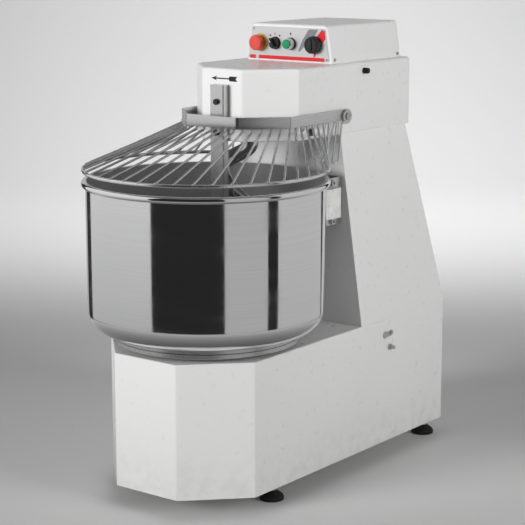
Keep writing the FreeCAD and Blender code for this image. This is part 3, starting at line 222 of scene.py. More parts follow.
# ---------------------------------------- finishes
class Finish:
    """One procedural material round a Principled shader, reading object coordinates."""

    def __init__(self, name, colour, roughness, metallic=0.0):
        self.material = bpy.data.materials.new(name)
        self.material.use_nodes = True
        self.tree = self.material.node_tree
        self.shader = self.tree.nodes["Principled BSDF"]
        self.set("Base Color", (*colour, 1))
        self.set("Roughness", roughness)
        self.set("Metallic", metallic)
        self.last_bump = None

    def set(self, socket, value):
        self.shader.inputs[socket].default_value = value

    def node(self, kind, **values):
        made = self.tree.nodes.new("ShaderNode" + kind)
        for socket, value in values.items():
            made.inputs[socket.replace("_", " ")].default_value = value
        return made

    def link(self, source, target):
        self.tree.links.new(source, target)

    def place(self, scale=(1, 1, 1), shift=(0, 0, 0), turn=(0, 0, 0)):
        coordinate = self.node("TexCoord")
        mapping = self.node("Mapping", Location=shift, Rotation=turn, Scale=scale)
        self.link(coordinate.outputs["Object"], mapping.inputs["Vector"])
        return mapping.outputs["Vector"]

    def lathe_place(self, centre_y, across, along):
        """Coordinates (distance from an upright axis, 0, height), for turned and spun work."""
        split = self.node("SeparateXYZ")
        self.link(self.place(shift=(0, -centre_y, 0)), split.inputs[0])
        flat = self.node("CombineXYZ")
        self.link(split.outputs["X"], flat.inputs["X"])
        self.link(split.outputs["Y"], flat.inputs["Y"])
        length = self.tree.nodes.new("ShaderNodeVectorMath")
        length.operation = "LENGTH"
        self.link(flat.outputs[0], length.inputs[0])
        joined = self.node("CombineXYZ")
        self.link(length.outputs["Value"], joined.inputs["X"])
        self.link(split.outputs["Z"], joined.inputs["Z"])
        scaled = self.node("Mapping", Scale=(across, 1, along))
        self.link(joined.outputs[0], scaled.inputs["Vector"])
        return scaled.outputs["Vector"]

    def noise(self, vector, scale, detail=4.0, rough=0.5):
        texture = self.node("TexNoise", Scale=scale, Detail=detail, Roughness=rough)
        self.link(vector, texture.inputs["Vector"])
        return texture.outputs["Fac"]

    def cloud(self, scale, detail=4.0):
        return self.noise(self.place(), scale, detail)

    def cells(self, vector, scale):
        texture = self.node("TexVoronoi", Scale=scale)
        self.link(vector, texture.inputs["Vector"])
        return texture.outputs["Distance"]

    def span(self, value, start, stop, low, high):
        ranged = self.node("MapRange", From_Min=start, From_Max=stop, To_Min=low, To_Max=high)
        self.link(value, ranged.inputs["Value"])
        return ranged.outputs["Result"]

    def tint(self, value, dark, light, start=0.3, stop=0.7):
        ramp = self.node("ValToRGB")
        ramp.color_ramp.elements[0].position = start
        ramp.color_ramp.elements[1].position = stop
        ramp.color_ramp.elements[0].color = (*dark, 1)
        ramp.color_ramp.elements[1].color = (*light, 1)
        self.link(value, ramp.inputs["Fac"])
        self.link(ramp.outputs["Color"], self.shader.inputs["Base Color"])
        return ramp.outputs["Color"]

    def mix_colour_over(self, colour, value, over_colour):
        """Mixes a second colour over the base colour where value is high."""
        mix = self.tree.nodes.new("ShaderNodeMix")
        mix.data_type = "RGBA"
        self.link(value, mix.inputs["Factor"])
        self.link(colour, mix.inputs[6])
        mix.inputs[7].default_value = (*over_colour, 1)
        self.link(mix.outputs[2], self.shader.inputs["Base Color"])
        return mix.outputs[2]

    def gloss(self, value, low, high, start=0.3, stop=0.7):
        self.link(self.span(value, start, stop, low, high), self.shader.inputs["Roughness"])

    def bump(self, value, depth, strength=1.0):
        bump = self.node("Bump", Strength=strength, Distance=depth)
        self.link(value, bump.inputs["Height"])
        if self.last_bump is not None:
            self.link(self.last_bump, bump.inputs["Normal"])
        self.last_bump = bump.outputs["Normal"]
        self.link(self.last_bump, self.shader.inputs["Normal"])


def multiplied(finish, first, second):
    product = finish.tree.nodes.new("ShaderNodeMath")
    product.operation = "MULTIPLY"
    finish.link(first, product.inputs[0])
    finish.link(second, product.inputs[1])
    return product.outputs[0]


def powder_coat():
    """Glossy white coat with faint orange peel, wipe marks, and darker brownish patches towards the bottom.
    """
    finish = Finish("white_powder_coat", (0.86, 0.86, 0.855), 0.3)
    finish.set("Coat Weight", 0.25)
    finish.set("Coat Roughness", 0.12)
    colour = finish.tint(finish.cloud(3.0), (0.85, 0.85, 0.845), (0.875, 0.875, 0.87))
    height = finish.node("SeparateXYZ")
    finish.link(finish.place(), height.inputs[0])
    # Darker brownish patches towards the bottom: a patchy mask that fades in below 0.14 m mixes the coat
    # towards grey-brown.
    low_down = finish.span(height.outputs["Z"], 0.14, 0.035, 0.0, 0.35)
    blotch = finish.span(finish.cloud(40.0, 6.0), 0.40, 0.80, 0.0, 1.0)
    finish.mix_colour_over(colour, multiplied(finish, low_down, blotch), (0.50, 0.48, 0.45))
    finish.gloss(finish.cloud(70.0, 5.0), 0.27, 0.31)
    finish.bump(finish.cloud(420.0, 2.0), 0.00004, 0.10)
    return finish.material


def bowl_polish():
    """Mirror-polished spinning: fine lathe rings, and scuffs that dull the gloss in patches."""
    finish = Finish("bowl_polish", (0.78, 0.78, 0.785), 0.08, 1.0)
    rings = finish.noise(finish.lathe_place(bowl_y, 900, 900), 1.0, 5.0, 0.6)
    finish.tint(rings, (0.72, 0.72, 0.73), (0.82, 0.82, 0.82))
    scuffs = finish.noise(finish.place((6, 6, 26)), 1.0, 6.0)
    finish.gloss(scuffs, 0.05, 0.13)
    finish.bump(rings, 0.00001, 0.25)
    finish.bump(finish.cloud(9.0, 1.0), 0.001, 0.04)
    return finish.material


def bowl_satin():
    """The bowl's inside: the same spinning, rubbed to a satin by use."""
    finish = Finish("bowl_satin", (0.62, 0.62, 0.625), 0.3, 0.85)
    rings = finish.noise(finish.lathe_place(bowl_y, 700, 700), 1.0, 5.0, 0.6)
    finish.tint(rings, (0.56, 0.56, 0.565), (0.68, 0.68, 0.68))
    finish.gloss(finish.noise(finish.place((9, 9, 30)), 1.0, 6.0), 0.34, 0.48)
    finish.bump(rings, 0.00002, 0.35)
    return finish.material


def brushed_sheet(name, grain, colour=(0.60, 0.60, 0.605)):
    """Satin stainless with its grain across the three axes of a scale, coarse where the scale is small."""
    finish = Finish(name, colour, 0.3, 1.0)
    lines = finish.noise(finish.place(grain), 1.0, 6.0, 0.6)
    finish.tint(lines, tuple(0.88 * c for c in colour), tuple(1.08 * c for c in colour))
    finish.gloss(lines, 0.22, 0.38)
    finish.bump(lines, 0.00003, 0.4)
    finish.bump(finish.cloud(30.0, 3.0), 0.0004, 0.05)
    return finish.material


def bright_wire():
    """Electropolished wire with faint drawing lines and dulled patches."""
    finish = Finish("bright_wire", (0.76, 0.76, 0.77), 0.16, 1.0)
    finish.tint(finish.cloud(120.0, 3.0), (0.66, 0.66, 0.67), (0.80, 0.80, 0.80))
    finish.gloss(finish.cloud(45.0, 4.0), 0.12, 0.30)
    finish.bump(finish.cloud(900.0, 2.0), 0.00004, 0.3)
    return finish.material


def hook_steel():
    """Forged and polished stainless bar with soft hammer waviness."""
    finish = Finish("hook_steel", (0.66, 0.66, 0.67), 0.18, 1.0)
    finish.tint(finish.cloud(14.0, 5.0), (0.58, 0.58, 0.59), (0.72, 0.72, 0.72))
    finish.gloss(finish.noise(finish.place((60, 60, 20)), 1.0, 5.0), 0.12, 0.28)
    finish.bump(finish.cloud(38.0, 2.0), 0.0012, 0.12)
    finish.bump(finish.cloud(700.0, 3.0), 0.00004, 0.3)
    return finish.material


def turned_steel():
    finish = Finish("turned_steel", (0.46, 0.46, 0.47), 0.32, 1.0)
    rings = finish.noise(finish.place((90, 90, 700)), 1.0, 4.0)
    finish.tint(rings, (0.38, 0.38, 0.39), (0.54, 0.54, 0.55))
    finish.gloss(rings, 0.25, 0.42)
    finish.bump(rings, 0.00004, 0.4)
    return finish.material


def blackened_steel():
    """Black-oxide screws, worn a little paler where a key has turned them."""
    finish = Finish("blackened_steel", (0.07, 0.07, 0.075), 0.38, 1.0)
    wear = finish.cloud(380.0, 4.0)
    finish.tint(wear, (0.045, 0.045, 0.05), (0.15, 0.15, 0.15), 0.4, 0.8)
    finish.gloss(wear, 0.30, 0.48)
    finish.bump(wear, 0.00005, 0.3)
    return finish.material


def casting():
    """Grey-painted iron casting with a sandy skin."""
    finish = Finish("iron_casting", (0.16, 0.17, 0.18), 0.55, 0.2)
    finish.tint(finish.cloud(60.0, 6.0), (0.12, 0.13, 0.14), (0.20, 0.21, 0.22))
    finish.gloss(finish.cloud(90.0, 4.0), 0.45, 0.7)
    finish.bump(finish.cloud(600.0, 4.0), 0.0003, 0.5)
    return finish.material


def motor_enamel():
    finish = Finish("motor_enamel", (0.17, 0.21, 0.25), 0.4)
    finish.tint(finish.cloud(30.0, 5.0), (0.14, 0.18, 0.22), (0.20, 0.24, 0.28))
    finish.gloss(finish.cloud(50.0, 4.0), 0.3, 0.5)
    finish.bump(finish.cloud(450.0, 3.0), 0.0002, 0.4)
    return finish.material


def zinc_plate():
    """Passivated zinc: pale, faintly warm spangle."""
    finish = Finish("zinc_plate", (0.55, 0.55, 0.52), 0.35, 1.0)
    spangle = finish.cells(finish.place(), 160.0)
    finish.tint(spangle, (0.47, 0.47, 0.44), (0.62, 0.61, 0.57), 0.1, 0.8)
    finish.gloss(spangle, 0.25, 0.48, 0.1, 0.8)
    finish.bump(finish.cloud(500.0, 3.0), 0.0001, 0.3)
    return finish.material


def rubber(name, level, peak):
    """Moulded rubber with a fine matt skin and paler dust."""
    finish = Finish(name, (level,) * 3, 0.75)
    finish.set("Specular IOR Level", 0.35)
    finish.tint(finish.cloud(85.0, 6.0), (level,) * 3, (peak,) * 3)
    finish.gloss(finish.cloud(120.0, 4.0), 0.55, 0.85)
    finish.bump(finish.cloud(900.0, 3.0), 0.00015, 0.5)
    return finish.material


def fascia_plate():
    """Satin grey plate with a fine horizontal grain."""
    finish = Finish("fascia_plate", (0.60, 0.60, 0.61), 0.38, 0.35)
    grain = finish.noise(finish.place((25, 25, 1400)), 1.0, 4.0)
    finish.tint(grain, (0.60, 0.60, 0.61), (0.70, 0.70, 0.71))
    finish.gloss(grain, 0.32, 0.46)
    finish.bump(grain, 0.00002, 0.3)
    return finish.material


def plastic(name, colour, low_gloss, high_gloss, grain=800.0, depth=0.00008):
    """Moulded plastic: even colour with a slight cloud, handled gloss and a fine spark texture."""
    finish = Finish(name, colour, low_gloss)
    cloud = finish.cloud(55.0, 4.0)
    finish.tint(cloud, tuple(0.86 * c for c in colour), tuple(min(1.0, 1.08 * c + 0.002) for c in colour))
    finish.gloss(finish.cloud(140.0, 5.0), low_gloss, high_gloss)
    finish.bump(finish.cloud(grain, 2.0), depth, 0.35)
    return finish.material


def turned_brass():
    finish = Finish("turned_brass", (0.62, 0.45, 0.20), 0.3, 1.0)
    finish.tint(finish.cloud(90.0, 4.0), (0.52, 0.36, 0.15), (0.68, 0.50, 0.24))
    finish.gloss(finish.cloud(200.0, 3.0), 0.22, 0.42)
    finish.bump(finish.noise(finish.place((700, 60, 60)), 1.0, 3.0), 0.00004, 0.4)
    return finish.material


def printed_ink(name, colour):
    """Screen-printed ink: near flat, with a slight mottle and edge-to-edge gloss change."""
    finish = Finish(name, colour, 0.4)
    finish.tint(finish.cloud(260.0, 4.0), tuple(0.88 * c for c in colour), colour)
    finish.gloss(finish.cloud(90.0, 3.0), 0.32, 0.5)
    finish.bump(finish.cloud(1200.0, 2.0), 0.00003, 0.3)
    return finish.material


white_coat = powder_coat()
mirror_steel = bowl_polish()
satin_steel = bowl_satin()
sheet_level = brushed_sheet("brushed_band", (12, 12, 1500), (0.62, 0.62, 0.625))
bar_grain = brushed_sheet("brushed_bar", (1500, 1500, 10), (0.66, 0.66, 0.665))
plate_grain = brushed_sheet("brushed_plate", (14, 1100, 1100))
wire_steel = bright_wire()
spiral_steel = hook_steel()
machined = turned_steel()
black_oxide = blackened_steel()
cast_grey = casting()
enamel = motor_enamel()
zinc = zinc_plate()
belt_black = rubber("belt_rubber", 0.012, 0.03)
foot_black = rubber("foot_rubber", 0.010, 0.022)
fascia = fascia_plate()
black_plastic = plastic("black_plastic", (0.014, 0.014, 0.015), 0.28, 0.42)
grey_plastic = plastic("grey_plastic", (0.22, 0.23, 0.23), 0.42, 0.6)
red_plastic = plastic("red_plastic", (0.74, 0.085, 0.065), 0.16, 0.28, 500.0, 0.00003)
yellow_plastic = plastic("yellow_plastic", (0.66, 0.43, 0.04), 0.2, 0.34)
green_plastic = plastic("green_plastic", (0.008, 0.30, 0.11), 0.14, 0.26, 500.0, 0.00003)
white_plastic = plastic("white_plastic", (0.80, 0.80, 0.78), 0.35, 0.5)
brass = turned_brass()
black_ink = printed_ink("black_ink", (0.012, 0.012, 0.013))
grey_ink = printed_ink("grey_ink", (0.24, 0.24, 0.25))
red_ink = printed_ink("red_ink", (0.72, 0.03, 0.04))
white_ink = printed_ink("white_ink", (0.86, 0.86, 0.86))

cad_finishes = {
    white_coat: ("base_shell", "column_shell", "rear_cover", "head_shell", "control_hood"),
    plate_grain: ("bowl_turntable", "steady_brackets"),
    bar_grain: ("breaker_bar",),
    machined: ("bowl_shaft", "spiral_shaft", "layshaft", "motor_rotor", "guard_pins",
               "lower_bearings", "head_bearings", "layshaft_bowl_pulley"),
    black_oxide: ("head_bolts",),
    cast_grey: ("bowl_pulley", "spiral_pulley", "layshaft_drive_pulley", "layshaft_spiral_pulley",
                "motor_pulley", "bowl_bearing_housing", "layshaft_bearing_blocks",
                "spiral_bearing_housing"),
    enamel: ("motor_housing", "motor_fan_cover"),
    zinc: ("rear_cover_screws", "base_floor_plate", "electrics_tray", "motor_plate",
           "earth_terminal", "foot_studs"),
    belt_black: ("motor_belt", "bowl_belt", "spiral_belt"),
    fascia: ("control_panel",),
    black_plastic: ("control_barrels", "cable_gland"),
    grey_plastic: ("contact_blocks", "guard_switch"),
    white_plastic: ("steady_pads",),
    brass: ("guard_bushes",),
}


def coat_cad_nodes():
    for material, names in cad_finishes.items():
        for name in names:
            mesh = nodes[name].data
            mesh.materials.clear()
            mesh.materials.append(material)


# ---------------------------------------- shape helpers
def verts_in(geom):
    return [g for g in geom if isinstance(g, bmesh.types.BMVert)]


def edges_of(verts):
    return list(dict.fromkeys(edge for vert in verts for edge in vert.link_edges))


def bevelled(bm, edges, width, segments):
    bmesh.ops.bevel(bm, geom=edges, offset=width, segments=segments, profile=0.5,
                    affect="EDGES", material=-1)


def drawn_out(bm, points, way):
    """A strip: an open line of points drawn out along a vector."""
    verts = [bm.verts.new(point) for point in points]
    edges = [bm.edges.new(pair) for pair in zip(verts, verts[1:])]
    grown = bmesh.ops.extrude_edge_only(bm, edges=edges)["geom"]
    bmesh.ops.translate(bm, vec=way, verts=verts_in(grown))
    return [edge for edge in bm.edges if len(edge.link_faces) == 2]


def circle(bm, segments, radius, z):
    """A ring of vertices square to Z."""
    place = Matrix.Translation((0, 0, z))
    return bmesh.ops.create_circle(bm, segments=segments, radius=radius, matrix=place)["verts"]


def joined_rings(bm, rings):
    """Skins a stack of edge loops and closes its ends."""
    for a, b in zip(rings, rings[1:]):
        bmesh.ops.bridge_loops(bm, edges=a + b)
    bmesh.ops.edgeloop_fill(bm, edges=rings[0])
    bmesh.ops.edgeloop_fill(bm, edges=rings[-1])


def piece(name, bm, material, body, slot, stands_for=(), sharp=32.0, closed=True):
    """Makes a piece of a finished bmesh and lets it ride on a body."""
    bmesh.ops.remove_doubles(bm, verts=bm.verts, dist=1e-7)
    if closed:
        bmesh.ops.recalc_face_normals(bm, faces=bm.faces)
    mesh = bpy.data.meshes.new(name)
    bm.to_mesh(mesh)
    bm.free()
    materials = material if isinstance(material, (list, tuple)) else [material]
    for each in materials:
        mesh.materials.append(each)
    mesh.shade_smooth()
    mesh.set_sharp_from_angle(angle=radians(sharp))
    made = bpy.data.objects.new(name, mesh)
    bpy.context.scene.collection.objects.link(made)
    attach(made, body)
    if stands_for:
        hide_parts(*stands_for)
    return made


def rounded(points, bend, steps=6):
    """A path whose corners are arcs of radius bend, or smaller where the runs are short."""
    points = [Vector(p) for p in points]
    path = [points[0]]
    for before, corner, after in zip(points, points[1:], points[2:]):
        back = (before - corner).normalized()
        ahead = (after - corner).normalized()
        half = back.angle(ahead) / 2
        if half > radians(89.0):
            path.append(corner)
            continue
        reach = min(bend / tan(half), 0.48 * (before - corner).length, 0.48 * (after - corner).length)
        centre = corner + (back + ahead).normalized() * (reach / cos(half))
        first = corner + back * reach - centre
        last = corner + ahead * reach - centre
        sweep = pi - 2 * half
        for i in range(steps + 1):
            share = i / steps
            part = sin((1 - share) * sweep) * first + sin(share * sweep) * last
            path.append(centre + part / sin(sweep))
    path.append(points[-1])
    return path


def turned(profile, steps=96):
    """Spins a (radius, along) outline about Z. It is closed if it starts and ends on the axis."""
    bm = bmesh.new()
    verts = [bm.verts.new((r, 0, along)) for r, along in profile]
    edges = [bm.edges.new(pair) for pair in zip(verts, verts[1:])]
    bmesh.ops.spin(bm, geom=verts + edges, cent=(0, 0, 0), axis=(0, 0, 1), angle=2 * pi,
                   steps=steps, use_merge=True)
    bmesh.ops.remove_doubles(bm, verts=bm.verts, dist=1e-6)
    return bm


def ring_turned(profile, steps=96):
    """Spins a closed (radius, along) outline into a ring."""
    return turned(list(profile) + [profile[0]], steps)


def arc(centre, radius, start, stop, steps):
    """Points of an arc in the profile plane, in degrees."""
    points = []
    for i in range(steps + 1):
        angle = radians(start + (stop - start) * i / steps)
        points.append(Vector((centre[0] + radius * cos(angle), centre[1] + radius * sin(angle))))
    return points


def facing_front(x, y, z):
    """Places what was turned about Z so that it points at the operator."""
    return Matrix.Translation((x, y, z)) @ Matrix.Rotation(radians(90), 4, "X")


def facing_side(x, y, z, side):
    """Places what was turned about Z so that it points to one side."""
    return Matrix.Translation((x, y, z)) @ Matrix.Rotation(side * radians(90), 4, "Y")


def swept(bm, path, radii, sides=12):
    """A round bar: one ring of vertices is extruded from point to point and turned to follow the path."""
    path = [Vector(p) for p in path]
    if not hasattr(radii, "__len__"):
        radii = [radii] * len(path)
    runs = [(b - a).normalized() for a, b in zip(path, path[1:])]
    lies = [runs[0]] + [(a + b).normalized() for a, b in zip(runs, runs[1:])] + [runs[-1]]
    turn = Vector((0, 0, 1)).rotation_difference(lies[0]).to_matrix().to_4x4()
    made = bmesh.ops.create_circle(bm, cap_ends=True, segments=sides, radius=radii[0],
                                   matrix=Matrix.Translation(path[0]) @ turn)
    ring = edges_of(made["verts"])
    for i in range(1, len(path)):
        grown = bmesh.ops.extrude_edge_only(bm, edges=ring)["geom"]
        verts = verts_in(grown)
        fresh = set(verts)
        ring = [g for g in grown if isinstance(g, bmesh.types.BMEdge) and fresh.issuperset(g.verts)]
        bend = lies[i - 1].rotation_difference(lies[i]).to_matrix()
        bmesh.ops.rotate(bm, cent=path[i - 1], matrix=bend, verts=verts)
        bmesh.ops.translate(bm, vec=path[i] - path[i - 1], verts=verts)
        grow = radii[i] / radii[i - 1]
        bmesh.ops.scale(bm, vec=(grow, grow, grow), space=Matrix.Translation(-path[i]), verts=verts)
    bmesh.ops.edgeloop_fill(bm, edges=ring)


def round_end(path, radius, steps=6):
    """Continues a path by a hemisphere; returns the added points and their radii."""
    lie = (path[-1] - path[-2]).normalized()
    angles = [radians(88.0) * (i + 1) / steps for i in range(steps)]
    return ([path[-1] + lie * radius * sin(a) for a in angles], [radius * cos(a) for a in angles])


def add_block(bm, low, high, edge=0.0006, turn=None):
    """A block between two corners with rounded edges, turned about its centre if asked."""
    low, high = Vector(low), Vector(high)
    place = Matrix.Translation((low + high) / 2) @ (turn or Matrix.Identity(4))
    size = Matrix.Diagonal((*(high - low), 1))
    verts = bmesh.ops.create_cube(bm, size=1.0, matrix=place @ size)["verts"]
    bevelled(bm, edges_of(verts), edge, 3)


def add_part(bm, other, place):
    """Adds another bmesh to this one at a place, and frees it."""
    carrier = bpy.data.meshes.new("carrier")
    other.transform(place)
    other.to_mesh(carrier)
    other.free()
    bm.from_mesh(carrier)
    bpy.data.meshes.remove(carrier)


# ---------------------------------------- bowl and spiral
def make_bowl_piece():
    """Spun bowl with a rounded floor corner and a rolled bead round its rim."""
    outer = 0.251
    wall = 0.0025
    corner = 0.046
    bead = 0.007
    bottom = bowl_low.z
    bead_z = bowl_high.z - bead
    bead_radius = bowl_high.x - bead
    flat = 0.1
    profile = [(0.0, bottom), (flat, bottom)]
    profile += arc((outer - corner, bottom + corner), corner, -90, 0, 14)
    rise = bead_z - bottom - corner
    profile += [(outer, bottom + corner + rise * i / 5) for i in range(1, 5)]
    profile += arc((bead_radius, bead_z), bead, -107, 130, 22)
    profile += [(outer - wall, bead_z - rise * i / 5) for i in range(1, 5)]
    profile += arc((outer - corner, bottom + corner), corner - wall, 0, -90, 14)
    profile += [(flat, bottom + wall), (0.0, bottom + wall)]
    bm = turned(profile, 160)
    for face in bm.faces:
        centre = face.calc_center_median()
        away = hypot(centre.x, centre.y)
        past_corner = max(0.0, away - outer + corner)
        if centre.z > bottom + corner:
            face.material_index = int(away < outer - wall * 0.6)
        else:
            reach = hypot(past_corner, bottom + corner - centre.z)
            face.material_index = int(reach < corner - wall * 0.6)
    bm.transform(Matrix.Translation((0, bowl_y, 0)))
    piece("polished_bowl", bm, [mirror_steel, satin_steel], "bowl", "polished_steel", ("bowl",), sharp=40)


def make_spiral_piece():
    """One round bar: straight out of the head, swept outwards, then a full turn down to the bowl floor."""
    bar = 0.017
    reach = 0.066
    top_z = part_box("spiral_hook")[1].z
    start_z = head_low.z - 0.028
    end_z = 0.388
    flare = 0.12
    path = [Vector((0, spiral_y, top_z + (start_z - top_z) * i / 8)) for i in range(8)]
    steps = 110
    smoothings = 16
    for i in range(steps + 1):
        share = i / steps
        angle = pi + 2 * pi * share
        radius = reach * sin(pi / 2 * min(1.0, share / flare))
        path.append(Vector((radius * cos(angle), spiral_y + radius * sin(angle),
                            start_z + (end_z - start_z) * share)))
    for _ in range(smoothings):
        path[1:-1] = [(a + 2 * b + c) / 4 for a, b, c in zip(path, path[1:], path[2:])]
    radii = [bar] * len(path)
    end_path, end_radii = round_end(path, bar, 8)
    bm = bmesh.new()
    swept(bm, path + end_path, radii + end_radii, 32)
    piece("kneading_spiral", bm, spiral_steel, "spiral", "polished_steel", ("spiral_hook",), sharp=50)


# ---------------------------------------- lifting guard
wire_radius = 0.0025
hoop_wire = (ring_high.z - ring_low.z) / 2
hoop_z = (ring_high.z + ring_low.z) / 2
hoop_radius = ring_high.x - hoop_wire
hoop_open_angle = 35.0
band_half = 0.147
band_nose = 0.067
band_sheet = 0.003
band_bottom = 0.775
band_top = collar_high.z
pivot = Vector((0.0, 0.1005, 0.7833))
last_wire_y = 0.054


def band_corners(inset=0.0):
    """The band's plan line from its left rear to its right rear, drawn in by inset."""
    lean = inset * tan(radians(22.5))
    front = collar_low.y + inset
    side_y = collar_low.y + band_half - band_nose + lean
    half = band_half - inset
    nose = band_nose - lean
    return [(-half, side_y), (-nose, front), (nose, front), (half, side_y)]


def along_band(share):
    """A point on the middle of the band's sheet, where a wire is welded."""
    left, nose_left, nose_right, right = (Vector(c) for c in band_corners(band_sheet / 2))
    left_end = Vector((left.x, last_wire_y))
    right_end = Vector((right.x, last_wire_y))
    corners = [left_end, left, nose_left, nose_right, right, right_end]
    lengths = [(b - a).length for a, b in zip(corners, corners[1:])]
    distance = share * sum(lengths)
    for a, b, length in zip(corners, corners[1:], lengths):
        if distance <= length + 1e-9:
            return a + (b - a) * (distance / length)
        distance -= length
    return corners[-1]


def make_guard_band():
    """Folded strip round the head's nose, ending in two arms and their round pivot bosses."""
    bm = bmesh.new()
    plan = [(-band_half, pivot.y)] + band_corners() + [(band_half, pivot.y)]
    line = [(x, y, band_bottom) for x, y in plan]
    bevelled(bm, drawn_out(bm, line, (0, 0, band_top - band_bottom)), 0.005, 5)
    for face in bm.faces:
        centre = face.calc_center_median()
        outwards = Vector((centre.x, centre.y - pivot.y, 0))
        if face.normal.dot(outwards) < 0:
            face.normal_flip()
    bmesh.ops.solidify(bm, geom=bm.faces[:], thickness=band_sheet)
    rims = [e for e in bm.edges if e.is_manifold and e.calc_face_angle() > radians(60)]
    bevelled(bm, rims, 0.0005, 2)
    boss_outline = [(0.0078, 0.0), (0.0153, 0.0), (0.016, 0.0007), (0.016, 0.0052), (0.0148, 0.0065),
                    (0.0105, 0.0065), (0.0100, 0.0058), (0.0078, 0.0058), (0.0078, 0.0)]
    for side in (-1, 1):
        near, far = sorted((side * (band_half - band_sheet), side * band_half))
        add_block(bm, (near, last_wire_y + 0.006, band_bottom - 0.003),
                  (far, pivot.y - 0.004, band_bottom + 0.004), 0.0008)
        place = facing_side(side * (band_half - band_sheet), pivot.y, pivot.z, side)
        add_part(bm, turned(boss_outline, 56), place)
    piece("guard_band", bm, sheet_level, "guard", "brushed_steel", ("guard_collar",), sharp=30)


def make_guard_hoop():
    """The round wire above the rim, open at the back, with rounded ends."""
    start = radians(90 + hoop_open_angle)
    sweep = radians(360 - 2 * hoop_open_angle)
    steps = 132
    path = []
    for i in range(steps + 1):
        angle = start + sweep * i / steps
        path.append(Vector((hoop_radius * cos(angle), bowl_y + hoop_radius * sin(angle), hoop_z)))
    tail, tail_radii = round_end(path, hoop_wire)
    lead, lead_radii = round_end(path[::-1], hoop_wire)
    bm = bmesh.new()
    swept(bm, lead[::-1] + path + tail, lead_radii[::-1] + [hoop_wire] * len(path) + tail_radii, 14)
    piece("guard_hoop", bm, wire_steel, "guard", "bright_wire", ("guard_ring",), sharp=50)


def weld_collar(bm, place, radius, height):
    """A small weld fillet round a wire where it meets another piece, wider at the bottom."""
    profile = [(radius, height), (radius * 1.12, height * 0.55), (radius * 1.45, height * 0.2),
               (radius * 1.75, 0.0), (radius * 0.5, 0.0)]
    add_part(bm, turned(profile, 14), place)


def make_guard_spokes():
    """Thirty-five bent wires from the band down to the hoop, and a comb of wire behind each arm."""
    count = 35
    nub = 0.004
    start = radians(91 + hoop_open_angle)
    sweep = radians(358 - 2 * hoop_open_angle)
    bm = bmesh.new()
    for i in range(count):
        share = i / (count - 1)
        top = along_band(share)
        angle = start + sweep * share
        foot = (hoop_radius * cos(angle), bowl_y + hoop_radius * sin(angle))
        path = rounded([(top.x, top.y, band_bottom + 0.0005), (top.x, top.y, band_bottom - 0.006),
                        (*foot, hoop_z + nub), (*foot, hoop_z)], 0.004, 4)
        swept(bm, path, wire_radius, 10)
        weld_collar(bm, Matrix.Translation((*foot, hoop_z + hoop_wire * 0.72)), wire_radius, 0.0032)
        upside_down = Matrix.Translation((top.x, top.y, band_bottom)) @ Matrix.Rotation(pi, 4, "X")
        weld_collar(bm, upside_down, wire_radius * 0.86, 0.0026)
    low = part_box("guard_wires")[0].z + wire_radius
    arm_bottom = band_bottom - 0.0025
    for side in (-1, 1):
        x = side * (band_half - band_sheet / 2)
        comb = [(x, 0.063, arm_bottom), (x, 0.063, arm_bottom - 0.008), (x, 0.049, low), (x, 0.072, low),
                (x, 0.082, arm_bottom - 0.008), (x, 0.082, arm_bottom)]
        swept(bm, rounded(comb, 0.006, 6), wire_radius, 12)
    piece("guard_spokes", bm, wire_steel, "guard", "bright_wire", ("guard_wires",), sharp=50)


# ---------------------------------------- controls
barrel_radius = 0.011
running_gap = 0.00008
ink_thick = 0.00015


def make_stop_button():
    """Red mushroom with a rolled edge and a sunk face, on a yellow ring."""
    x = (stop_low.x + stop_high.x) / 2
    radius = (stop_high.x - stop_low.x) / 2
    stem = 0.008
    head_depth = 0.0135
    reach = stop_high.y - stop_low.y
    head = reach - head_depth
    profile = [(0.0, reach - 0.0003)]
    profile += [(radius * 0.52, reach - 0.0002), (radius * 0.55, reach - 0.0007),
                (radius * 0.58, reach - 0.0002)]
    profile += arc((radius - 0.0042, reach - 0.0046), 0.0042, 78, -4, 10)
    profile += [(radius, head + 0.0022)]
    profile += arc((radius - 0.0018, head + 0.0018), 0.0018, 0, -90, 5)
    profile += [(stem, head), (stem, 0.0), (0.0, 0.0)]
    bm = turned(profile)
    bm.transform(facing_front(x, stop_high.y, control_z))
    piece("stop_mushroom", bm, red_plastic, "estop_button", "red_plastic", ("estop_button",), sharp=40)

    low, high = ring_mark_low, ring_mark_high
    ring = (high.x - low.x) / 2
    thick = panel_y - low.y
    reach = high.y - low.y
    seat = high.y - panel_y
    bore = stem + running_gap
    edge = 0.0008
    profile = [(bore, 0.0), (barrel_radius, 0.0), (barrel_radius, seat), (ring, seat)]
    profile += arc((ring - edge, reach - edge), edge, 0, 90, 4)
    profile += [(ring * 0.72, reach), (ring * 0.68, reach - thick * 0.3),
                (bore + 0.002, reach - thick * 0.3), (bore, reach - thick * 0.4)]
    bm = ring_turned(profile)
    bm.transform(facing_front(x, high.y, control_z))
    piece("stop_ring", bm, yellow_plastic, "frame", "yellow_plastic", ("estop_collar",), sharp=40)


